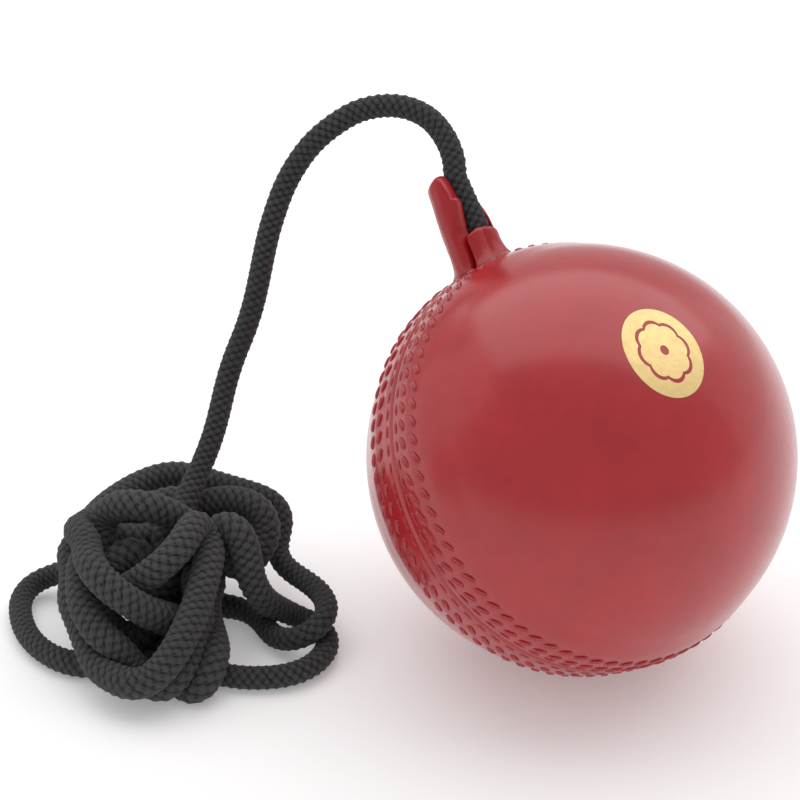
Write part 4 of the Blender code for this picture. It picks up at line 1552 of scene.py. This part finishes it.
@dataclass
class LeatherCovers:
    """The ball's two lacquered cups, with the raised band and its sewn hollows."""

    axes: BallAxes
    plan: SeamPlan
    wall: float = 0.0035
    outline_points: int = 252
    inner_points: int = 56
    turns: int = 456
    fine_margin: float = math.radians(1.0)
    merge: float = 2e-6
    seam_reach: float = 1e-6
    crease: float = 50.0
    hole_radius: float = 0.0038
    hole_depth: float = 0.012
    hole_sides: int = 48
    edge_roll: float = 0.00026
    edge_width: float = 0.00042
    groove: float = 0.00010
    bed: float = 0.00004
    bed_width: float = 0.00060
    ends: float = 0.00010
    end_width: float = 0.00038
    quilt: float = 0.00010
    quilt_width: float = 0.0011
    # How deep the sewing is where the painted shade is full, and how dark that shade is
    full_depth: float = 0.00045
    gathered: float = 0.50

    def build(self) -> None:
        """Make both cups."""
        finish = LacqueredLeather().material()
        for cover in Cover:
            cup = self.cup(cover)
            Bench.dress(cup, finish, Slot.RED_LEATHER)
            Bench.put_on_ball(cup, f"{cover.side}_cover")

    def outline(self, radius: float, points: int) -> bpy.types.Object:
        """A quarter of a ring, from the seam up to the pole.

        Args:
            radius: The ring's radius.
            points: How many points the full ring has.

        Returns:
            The quarter.
        """
        Bench.clear()
        bpy.ops.mesh.primitive_circle_add(vertices=points, radius=radius, location=(0.0, 0.0, 0.0),
                                          rotation=(math.pi / 2, 0.0, 0.0))
        ring = Bench.named("outline")
        Bench.edit(ring)
        Bench.slice((0.0, 0.0, self.plan.seam_gap / 2), (0.0, 0.0, 1.0), keep_above=True)
        Bench.slice((0.0, 0.0, 0.0), (1.0, 0.0, 0.0), keep_above=True)
        Bench.done()
        return ring

    def cup(self, cover: Cover) -> bpy.types.Object:
        """Spin the wall's section round the seam's normal, then work the band into it.

        Args:
            cover: Which cup.

        Returns:
            The cup.
        """
        outer = self.outline(self.plan.radius, self.outline_points)
        Bench.edit(outer)
        band_top = self.plan.radius * math.sin(self.plan.band_edge + self.fine_margin)
        Bench.pick(lambda place: place.z < band_top, Element.EDGE)
        bpy.ops.mesh.subdivide(number_cuts=1)
        Bench.done()
        inner = self.outline(self.plan.radius - self.wall, self.inner_points)
        section = Bench.take(outer, inner)
        bpy.ops.object.join()
        Bench.edit(section)
        edge = self.plan.seam_gap / 2 + self.seam_reach
        # Join the two quarters along the seam
        Bench.pick(lambda place: place.z < edge)
        bpy.ops.mesh.edge_face_add()
        bpy.ops.mesh.select_all(action="SELECT")
        bpy.ops.mesh.spin(steps=self.turns, angle=math.tau, center=(0.0, 0.0, 0.0),
                          axis=(0.0, 0.0, 1.0))
        Bench.close(self.merge)
        cup = Bench.named(f"leather_{cover.side}_cover")
        Bench.move(cup, lambda places: self.worked(places, cover))
        # Painted shade: the colour darkens where the sewing draws the hide in
        Bench.mark(cup, "hollow", self.hollow(cup, cover))
        if cover is Cover.REAR:
            Bench.edit(cup)
            bpy.ops.transform.resize(value=(1.0, 1.0, -1.0), center_override=(0.0, 0.0, 0.0))
            Bench.close(self.merge)
        self.open_hole(cup)
        Bench.smooth(cup, self.crease)
        Bench.set_down(cup, self.axes.seam_place())
        return cup

    def open_hole(self, cup: bpy.types.Object) -> None:
        """Cut the hole that the sleeve's root passes through.

        Args:
            cup: The cup, at the bench.
        """
        Bench.clear()
        bpy.ops.mesh.primitive_cylinder_add(
            vertices=self.hole_sides, radius=self.hole_radius, depth=self.hole_depth,
            location=(self.plan.radius, 0.0, 0.0), rotation=(0.0, math.pi / 2, 0.0))
        cutter = Bench.named("hole_cutter")
        Bench.apply(cup, "BOOLEAN", object=cutter, operation="DIFFERENCE", solver="EXACT")
        bpy.data.objects.remove(cutter)

    def _seam_places(self, places: np.ndarray) -> tuple[np.ndarray, np.ndarray, np.ndarray]:
        """Where places lie by the seam.

        Args:
            places: The places.

        Returns:
            Radius, distance from the seam over the ball, and angle round the seam.
        """
        radius = np.linalg.norm(places, axis=1)
        latitude = np.arcsin(np.clip(places[:, 2] / radius, -1.0, 1.0))
        return radius, latitude * self.plan.radius, np.arctan2(places[:, 1], places[:, 0])

    def _near_stitch(self, row: int, across: np.ndarray,
                     angle: np.ndarray) -> tuple[np.ndarray, np.ndarray]:
        """Where places lie by the nearest stitch of a row.

        Args:
            row: Number of the row.
            across: How far past the row each place is.
            angle: Its angle round the seam.

        Returns:
            Distance along the stitch and across it, in metres.
        """
        pitch = math.tau / self.plan.stitches
        along = ((angle / pitch) % 1.0 - 0.5) * pitch * self.plan.radius
        tilt = self.plan.tilts[row]
        return (along * math.cos(tilt) + across * math.sin(tilt),
                across * math.cos(tilt) - along * math.sin(tilt))

    def depth(self, offset: np.ndarray, angle: np.ndarray, cover: Cover) -> np.ndarray:
        """How deep the sewing draws the hide in.

        Args:
            offset: Distance from the seam.
            angle: Angle round the seam.
            cover: Which cup.

        Returns:
            The depth, in metres.
        """
        plan = self.plan
        rows = plan.rows(cover)
        half = plan.stitch_length / 2
        sewn = (self.edge_roll * hill(offset - plan.seam_gap / 2, self.edge_width)
                + self.groove * hill(offset - rows[0], self.edge_width))
        for row in (1, 2):
            along, across = self._near_stitch(row, offset - rows[row], angle)
            bed = self.bed * hill(across, self.bed_width) * hill(along, half)
            ends = hill(np.hypot(np.abs(along) - half, across), self.end_width)
            sewn = sewn + bed + self.ends * ends
        return sewn

    def worked(self, places: np.ndarray, cover: Cover) -> np.ndarray:
        """Raise the band and draw in the hide along the rows, on the cup's outside.

        Args:
            places: Places on a plain cup.
            cover: Which cup.

        Returns:
            Places on the worked cup.
        """
        radius, offset, angle = self._seam_places(places)
        outside = radius > self.plan.radius - 0.5 * self.wall
        band = self.plan.rise(offset / self.plan.radius)
        between_rows = sum(self.plan.rows(cover)[1:]) / 2
        quilt = self.quilt * hill(offset - between_rows, self.quilt_width)
        lift = (band + quilt - self.depth(offset, angle, cover)) * outside
        return places * (1.0 + lift / radius)[:, None]

    def hollow(self, cup: bpy.types.Object, cover: Cover) -> np.ndarray:
        """How much painted shade darkens each vertex, more where the sewing draws the hide in.

        Args:
            cup: The worked cup.
            cover: Which cup it is.

        Returns:
            0 for none to 1.
        """
        _, offset, angle = self._seam_places(Bench.places(cup))
        deep = np.clip(self.depth(offset, angle, cover) / self.full_depth, 0.0, 1.0)
        return deep * self.gathered


@dataclass
class SeamStitches:
    """Six rows of doubled thread, three on each side of the seam."""

    axes: BallAxes
    plan: SeamPlan
    thread_radius: float = 0.00027
    thread_apart: float = 0.00044
    thread_sides: int = 8
    seam_row_length: float = 0.94
    seam_row_sink: float = 0.00016
    crease: float = 60.0
    cuts: tuple[float, ...] = (-0.84, -0.5, 0.0, 0.5, 0.84)
    near_cut: float = 0.06
    # Share of the half length, thickness and height there
    profile: tuple[Triple, ...] = ((1.0, 0.45, -0.00030), (0.84, 0.85, -0.00007),
                                   (0.5, 1.0, 0.00004), (0.0, 1.04, 0.00007))

    def build(self) -> None:
        """Make the rows."""
        finish = LacqueredThread().material()
        for cover in Cover:
            for row, offset in enumerate(self.plan.rows(cover)):
                pattern = self.stitch(row)
                thread = Bench.copies(f"{cover.side}_thread_row_{row + 1}", pattern,
                                      self.places(cover.value, row, offset))
                bpy.data.objects.remove(pattern)
                Bench.dress(thread, finish, Slot.RED_THREAD)
                Bench.smooth(thread, self.crease)
                Bench.put_on_ball(thread, f"{cover.side}_stitch_row_{row + 1}")

    def stitch(self, row: int) -> bpy.types.Object:
        """One stitch: threads side by side that rise from the hide and dive back into it.

        Args:
            row: Number of the row. The one by the seam has one thread, and the others two.

        Returns:
            The stitch, lying along X at the bench.
        """
        half = self.plan.stitch_length * (1.0 if row else self.seam_row_length) / 2
        threads = []
        for side in (-1.0, 1.0) if row else (0.0,):
            Bench.clear()
            bpy.ops.mesh.primitive_cylinder_add(
                vertices=self.thread_sides, radius=self.thread_radius, depth=2 * half,
                location=(0.0, side * self.thread_apart / 2, 0.0),
                rotation=(0.0, math.pi / 2, 0.0))
            threads.append(Bench.named("stitch"))
        stitch = Bench.take(*threads)
        if len(threads) > 1:
            bpy.ops.object.join()
        Bench.edit(stitch)
        for share in self.cuts:
            Bench.slice((share * half, 0.0, 0.0), (1.0, 0.0, 0.0))
        for share, size, height in self.profile:
            Bench.pick(lambda place: abs(abs(place.x) - share * half) < self.near_cut * half)
            bpy.ops.transform.resize(value=(1.0, size, size), center_override=(0.0, 0.0, 0.0))
            bpy.ops.transform.translate(value=(0.0, 0.0, height))
        Bench.close()
        return stitch

    def places(self, side: int, row: int, offset: float) -> list[Matrix]:
        """Where each stitch of a row goes, in the ball's place.

        Args:
            side: 1 in front of the seam and -1 behind it.
            row: Number of the row.
            offset: How far the row lies from the seam.

        Returns:
            A matrix for each stitch.
        """
        plan = self.plan
        latitude = side * offset / plan.radius
        sink = 0.0 if row else self.seam_row_sink
        height = plan.radius + float(plan.rise(np.array(latitude))) - sink
        on_side = Matrix(((0.0, 0.0, 1.0), (1.0, 0.0, 0.0), (0.0, 1.0, 0.0))).to_4x4()
        lay = (Matrix.Rotation(-latitude, 4, "Y") @ Matrix.Translation((height, 0.0, 0.0))
               @ on_side @ Matrix.Rotation(side * plan.tilts[row], 4, "Z"))
        angles = [(index + 0.5) * math.tau / plan.stitches for index in range(plan.stitches)]
        return [self.axes.seam_place() @ Matrix.Rotation(angle, 4, "Z") @ lay
                for angle in angles if plan.clear_of_foot(side, offset, angle)]


# --- Sleeve ---


@dataclass(frozen=True)
class TonguePlan:
    """One leather tongue of the sleeve: its rim as (angle in degrees, height above the ball)."""

    name: str
    node: str
    rim: tuple[Pair, ...]
    draw_back: float = 0.0
    draw_back_heights: Pair = (0.0066, 0.0132)

    def bearing(self, share: float, height: float) -> float:
        """The angle at a share of the way along the tongue: low down its last edge draws back.

        Args:
            share: 0 at the first edge to 1 at the last.
            height: Height above the ball.

        Returns:
            The angle, in degrees.
        """
        low, high = self.draw_back_heights
        drawn = self.draw_back * (1.0 - min(1.0, max(0.0, (height - low) / (high - low))))
        first, last = self.rim[0][0], self.rim[-1][0]
        return first + (last - drawn - first) * share

    def height(self, angle: float) -> float:
        """The rim's height at an angle, straight between its points."""
        return float(np.interp(angle, *zip(*self.rim)))


@dataclass
class CordSleeve:
    """The leather sleeve that the cord leaves through: two tongues wrapped round it."""

    axes: BallAxes
    plan: SeamPlan
    finish: LacqueredLeather = LacqueredLeather(
        name="tongue_leather", grain_cells=2400.0, coat=0.55, colour=(0.400, 0.010, 0.016))
    inner_radius: float = 0.0023
    film: float = 0.00004
    tab_radius: float = 0.00395
    offset_at_top: float = 0.0012
    offset_fall: float = 1.8
    tallest: float = 0.0168
    thin_wall: float = 0.0006
    edge_wall: float = 0.00045
    root_wall: float = 0.0011
    root_height: float = 0.0325
    skirt: float = 0.0013
    skirt_height: float = 0.0011
    skirt_fall: float = 1.25
    # Where the skirt is slimmer, how far round that goes, and how much of its width and height
    slim_angle: float = 200.0
    slim_spread: float = 1.1
    slim_share: Pair = (0.35, 0.10)
    toe_depth: float = 0.00030
    toe_shape: tuple[Pair, ...] = ((-0.0002, 0.0), (0.0, 0.00010), (-0.00006, 0.00026))
    row_spread: float = 1.35
    brim: float = 0.0006
    brim_parts: int = 8
    corner: float = 0.0008
    corner_radius: float = 0.0034
    corner_drop: float = 0.0009
    columns: int = 84
    columns_span: float = 235.0
    # How evenly the columns stand: at 1 their spacing follows a plain cosine
    columns_even: float = 0.55
    rows: int = 30
    merge: float = 4e-6
    crease: float = 60.0
    # Cells per metre and depth of the hide's unevenness
    dents: tuple[Pair, ...] = ((420.0, 0.00007), (1100.0, 0.00003))
    undented_wall: float = 0.0004
    # How dark the painted shade in the fold at the sleeve's foot is, and how fast it fades upwards
    fold_shade: float = 0.75
    fold_height: float = 0.00045
    tongues: tuple[TonguePlan, ...] = (
        TonguePlan("leather_rear_tongue", "rear_tongue",
                   ((-104.0, 0.0080), (-74.0, 0.0115), (-34.0, 0.0146), (10.0, 0.0165),
                    (40.0, 0.0165), (57.5, 0.0160), (66.0, 0.0162), (76.0, 0.0165),
                    (86.0, 0.0168), (95.0, 0.0170), (102.0, 0.0169), (108.0, 0.0162),
                    (113.0, 0.0141), (117.0, 0.0129), (122.0, 0.0126), (136.0, 0.0124)), 36.0),
        TonguePlan("leather_front_tongue", "front_tongue",
                   ((103.5, 0.0044), (114.0, 0.0058), (135.0, 0.0063), (150.0, 0.0062),
                    (195.0, 0.0057), (236.0, 0.0050), (252.0, 0.0042))),
    )

    def build(self) -> None:
        """Make both tongues."""
        finish = self.finish.material()
        for plan in self.tongues:
            tongue = self.tongue(plan)
            Bench.dress(tongue, finish, Slot.RED_LEATHER)
            Bench.put_on_ball(tongue, plan.node)

    def outer_radius(self, angle: float, share: float) -> float:
        """The wall's outer radius about the bore.

        Args:
            angle: Angle round the bore, in degrees.
            share: 0 at the ball to 1 at the sleeve's top.

        Returns:
            The radius.
        """
        fall = share ** self.offset_fall
        foot = self.plan.foot_offset
        offset = foot + (self.offset_at_top - foot) * fall
        turn = math.radians(angle - self.plan.foot_angle)
        reach = offset * math.cos(turn)
        reach += math.sqrt(self.tab_radius ** 2 - (offset * math.sin(turn)) ** 2)
        return max(reach, self.inner_radius + self.thin_wall)

    def ball_height(self, radius: float) -> float:
        """Height of the sewn band's surface at a distance from the bore's axis."""
        surface = self.plan.radius + self.plan.band_rise + self.film
        return math.sqrt(surface ** 2 - radius ** 2)

    def section(self, bearing: Callable[[float], float], top: float) -> list[Triple]:
        """The wall's closed section, as (angle, radius, height) places from its root round.

        Args:
            bearing: Gives the section's angle at a height above the ball.
            top: Height of its rim from the ball's centre.

        Returns:
            The places, up the outside, over the brim and down the inside.
        """
        angle = bearing(0.0)
        slim = hill(math.radians(angle - self.slim_angle), self.slim_spread)
        skirt, skirt_height = (size * (1.0 - share * slim) for size, share in
                               zip((self.skirt, self.skirt_height), self.slim_share))
        root = self.inner_radius + self.root_wall
        toe = self.outer_radius(angle, 0.0) + skirt
        low = self.ball_height(toe) - self.toe_depth
        outer = [(angle, root, self.root_height), (angle, root, self.ball_height(root))]
        outer += [(angle, toe + out, low + up) for out, up in self.toe_shape]
        foot = outer[-1][2]
        shoulder = top - self.brim
        climbs = self.rows - len(outer)
        for step in range(1, climbs + 1):
            rise = (shoulder - foot) * (step / climbs) ** self.row_spread
            above = foot + rise - self.plan.radius
            angle = bearing(above)
            wall = self.outer_radius(angle, max(0.0, above) / self.tallest)
            flare = skirt * math.exp(-(rise / skirt_height) ** self.skirt_fall)
            outer.append((angle, wall + flare, foot + rise))
        middle = (outer[-1][1] + self.inner_radius) / 2
        half = (outer[-1][1] - self.inner_radius) / 2
        turns = [math.pi * step / self.brim_parts for step in range(1, self.brim_parts)]
        brim = [(angle, middle + half * math.cos(turn), shoulder + self.brim * math.sin(turn))
                for turn in turns]
        inner = [(side, self.inner_radius, height) for side, _, height in reversed(outer)]
        return outer + brim + inner

    def tongue(self, plan: TonguePlan) -> bpy.types.Object:
        """Wrap a flat leaf round the cord and give it its wall, skirt and rounded edges.

        Args:
            plan: Which tongue.

        Returns:
            The tongue.
        """
        first, last = plan.rim[0][0], plan.rim[-1][0]
        columns = round(self.columns * (last - first) / self.columns_span)
        sections = [self.column(plan, self.edge_share(column / columns))
                    for column in range(columns + 1)]
        around = len(sections[0])
        Bench.clear()
        bpy.ops.mesh.primitive_grid_add(x_subdivisions=columns, y_subdivisions=around, size=2.0)
        leaf = Bench.named(plan.name)
        flat = (Bench.places(leaf)[:, :2] + 1.0) / 2.0 * (columns, around)
        wrapped = [sections[round(x)][round(y) % around] for x, y in flat]
        Bench.move(leaf, lambda _: np.array(wrapped))
        Bench.edit(leaf)
        Bench.close(self.merge)
        # Painted shade in the fold where the sleeve meets the ball
        Bench.mark(leaf, "hollow", np.array([self.shade(vert.co) for vert in leaf.data.vertices]))
        Bench.smooth(leaf, self.crease)
        Bench.set_down(leaf, self.axes.bore_place())
        return leaf

    def column(self, plan: TonguePlan, share: float) -> list[Vector]:
        """One section of a tongue, drawn in where it nears the tongue's side edges.

        Args:
            plan: Which tongue.
            share: 0 at its first edge to 1 at its last.

        Returns:
            The section's places at the bench.
        """
        first, last = plan.rim[0][0], plan.rim[-1][0]
        angle = first + (last - first) * share
        away = math.radians(min(angle - first, last - angle)) * self.corner_radius
        short = max(0.0, 1.0 - away / self.corner)
        full = math.sqrt(max(0.0, 1.0 - short ** 2))
        top = self.plan.radius + plan.height(angle) - (1.0 - full) * self.corner_drop
        middle = self.inner_radius + self.edge_wall
        return [self.on_hide(side, middle + (radius - middle) * full, height)
                for side, radius, height
                in self.section(lambda height: plan.bearing(share, height), top)]

    def on_hide(self, angle: float, radius: float, height: float) -> Vector:
        """A place on the wall, a little dented on its outside, as hide is.

        Args:
            angle: Angle round the bore, in degrees.
            radius: Distance from its axis.
            height: Height from the ball's centre.

        Returns:
            The place.
        """
        turn = math.radians(angle)
        place = Vector((radius * math.cos(turn), radius * math.sin(turn), height))
        if radius > self.inner_radius + self.undented_wall:
            dent = sum(noise.noise(place * cells) * depth for cells, depth in self.dents)
            place += Vector((math.cos(turn), math.sin(turn), 0.0)) * dent
        return place

    def edge_share(self, share: float) -> float:
        """A column's place along a leaf, 0 to 1: they stand closer together at its two edges.

        Args:
            share: The place that it would have in even columns.

        Returns:
            The place.
        """
        wave = math.cos(math.pi * share)
        return 0.5 - 0.5 * wave * (self.columns_even + (1.0 - self.columns_even) * abs(wave))

    def shade(self, place: Vector) -> float:
        """Painted shade in the fold where the sleeve meets the ball."""
        rise = place.z - self.ball_height(math.hypot(place.x, place.y))
        return self.fold_shade * math.exp(-max(0.0, rise) / self.fold_height)


# --- Foil seal ---


@dataclass
class FoilSeal:
    """An oval foil seal on the front cover: a plain rim round an eight-petalled rosette."""

    axes: BallAxes
    plan: SeamPlan
    bearing: float = math.radians(-61.1)
    elevation: float = math.radians(54.4)
    radius: float = 0.0069
    points: int = 128
    thickness: float = 0.00004
    clearance: float = 0.00002
    petals: int = 8
    petal_depth: float = 0.13
    petal_width: float = 0.0011
    petal_shape: Pair = (0.8, 0.6)
    line_radius: float = 0.0041
    line_width: float = 0.00055
    line_margins: Pair = (0.00035, 0.0005)
    line_slack: float = 0.2
    rim_ring: float = 0.0060
    middle_rings: Pair = (0.0026, 0.0015)
    dot: float = 0.00075
    oval: Triple = (0.93, 1.16, 1.0)

    def build(self) -> None:
        """Make the seal and press it on the ball."""
        seal = self.pattern()
        Bench.move(seal, self.pressed)
        Bench.apply(seal, "SOLIDIFY", thickness=self.thickness, offset=1.0)
        Bench.edit(seal)
        Bench.close()
        Bench.smooth(seal)
        outwards = Vector((math.cos(self.elevation) * math.cos(self.bearing),
                           math.cos(self.elevation) * math.sin(self.bearing),
                           math.sin(self.elevation)))
        turn = outwards.to_track_quat("Z", "Y").to_matrix().to_4x4()
        Bench.set_down(seal, Matrix.Translation(self.axes.centre) @ turn)
        Bench.dress(seal, GoldFoil().material(), Slot.RED_LEATHER)
        Bench.put_on_ball(seal)

    def pattern(self) -> bpy.types.Object:
        """The flat seal: rings drawn inwards from the rim, with the rosette's line left out.

        Returns:
            The seal, flat at the bench.
        """
        inner, outer = self.line_radius, self.line_radius + self.line_width
        rings = (self.rim_ring, outer + self.line_margins[0], outer, inner,
                 inner - self.line_margins[1], *self.middle_rings, self.dot)
        Bench.clear()
        bpy.ops.mesh.primitive_circle_add(vertices=self.points, radius=self.radius,
                                          location=(0.0, 0.0, 0.0))
        seal = Bench.named("foil_seal")
        Bench.edit(seal)
        for last, ring in zip((self.radius, *rings), rings):
            bpy.ops.mesh.extrude_edges_move()
            bpy.ops.transform.resize(value=(ring / last, ring / last, 1.0),
                                     center_override=(0.0, 0.0, 0.0))
        slack = self.line_slack * self.line_width
        Bench.pick(lambda place: inner + slack < place.length < outer - slack, Element.FACE)
        bpy.ops.mesh.delete(type="FACE")
        Bench.done()
        Bench.move(seal, self.scalloped)
        return seal

    def scalloped(self, places: np.ndarray) -> np.ndarray:
        """Wave the rosette's line into petals and draw the seal out to an oval.

        Args:
            places: Places on the round seal.

        Returns:
            Places on the oval one.
        """
        size = np.hypot(places[:, 0], places[:, 1])
        angle = np.arctan2(places[:, 1], places[:, 0])
        share = hill(size - self.line_radius - self.line_width / 2, self.petal_width)
        power, level = self.petal_shape
        petal = np.abs(np.cos(angle * self.petals / 2)) ** power - level
        return places * (1.0 + self.petal_depth * share * petal)[:, None] * np.array(self.oval)

    def pressed(self, places: np.ndarray) -> np.ndarray:
        """Bend the flat seal onto the ball.

        Args:
            places: Places on the flat seal.

        Returns:
            Places about the ball's centre, with the seal's middle at the top.
        """
        size = np.hypot(places[:, 0], places[:, 1])
        turn = size / self.plan.radius
        lift = self.plan.radius + self.clearance
        share = np.sin(turn) * lift / np.maximum(size, TINY)
        return np.stack([places[:, 0] * share, places[:, 1] * share, np.cos(turn) * lift], axis=1)


# --- Filling ---


@dataclass(frozen=True)
class BallFilling:
    """What the covers hold: core, layers, windings and the stopper knot."""

    cork: tuple[str, ...] = ("core", "cork_layer")
    twine: tuple[str, ...] = ("inner_winding", "outer_winding")
    knot: tuple[str, ...] = ("stopper_knot",)

    def dress(self) -> None:
        """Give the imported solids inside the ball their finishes."""
        for finish, nodes in ((Cork(), self.cork), (WoundTwine(), self.twine),
                              (KnottedBraid(), self.knot)):
            material = finish.material()
            for node in nodes:
                solid = bpy.data.objects[node]
                solid.data.materials.clear()
                solid.data.materials.append(material)
                LOG.info("%s: dressed", node)


# --- Making ---


def write_sizes() -> None:
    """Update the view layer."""
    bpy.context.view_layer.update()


def main() -> None:
    """Build and dress every sub-assembly in order."""
    logging.basicConfig(level=logging.INFO, format="%(name)s %(message)s")
    axes = BallAxes.from_joint("ball_twist")
    plan = SeamPlan()
    studio = Studio()
    studio.add_camera()
    TetherCord(axes).build()
    LeatherCovers(axes, plan).build()
    SeamStitches(axes, plan).build()
    CordSleeve(axes, plan).build()
    FoilSeal(axes, plan).build()
    BallFilling().dress()
    studio.add_floor()
    studio.add_light()
    write_sizes()


if __name__ == "__main__":
    main()
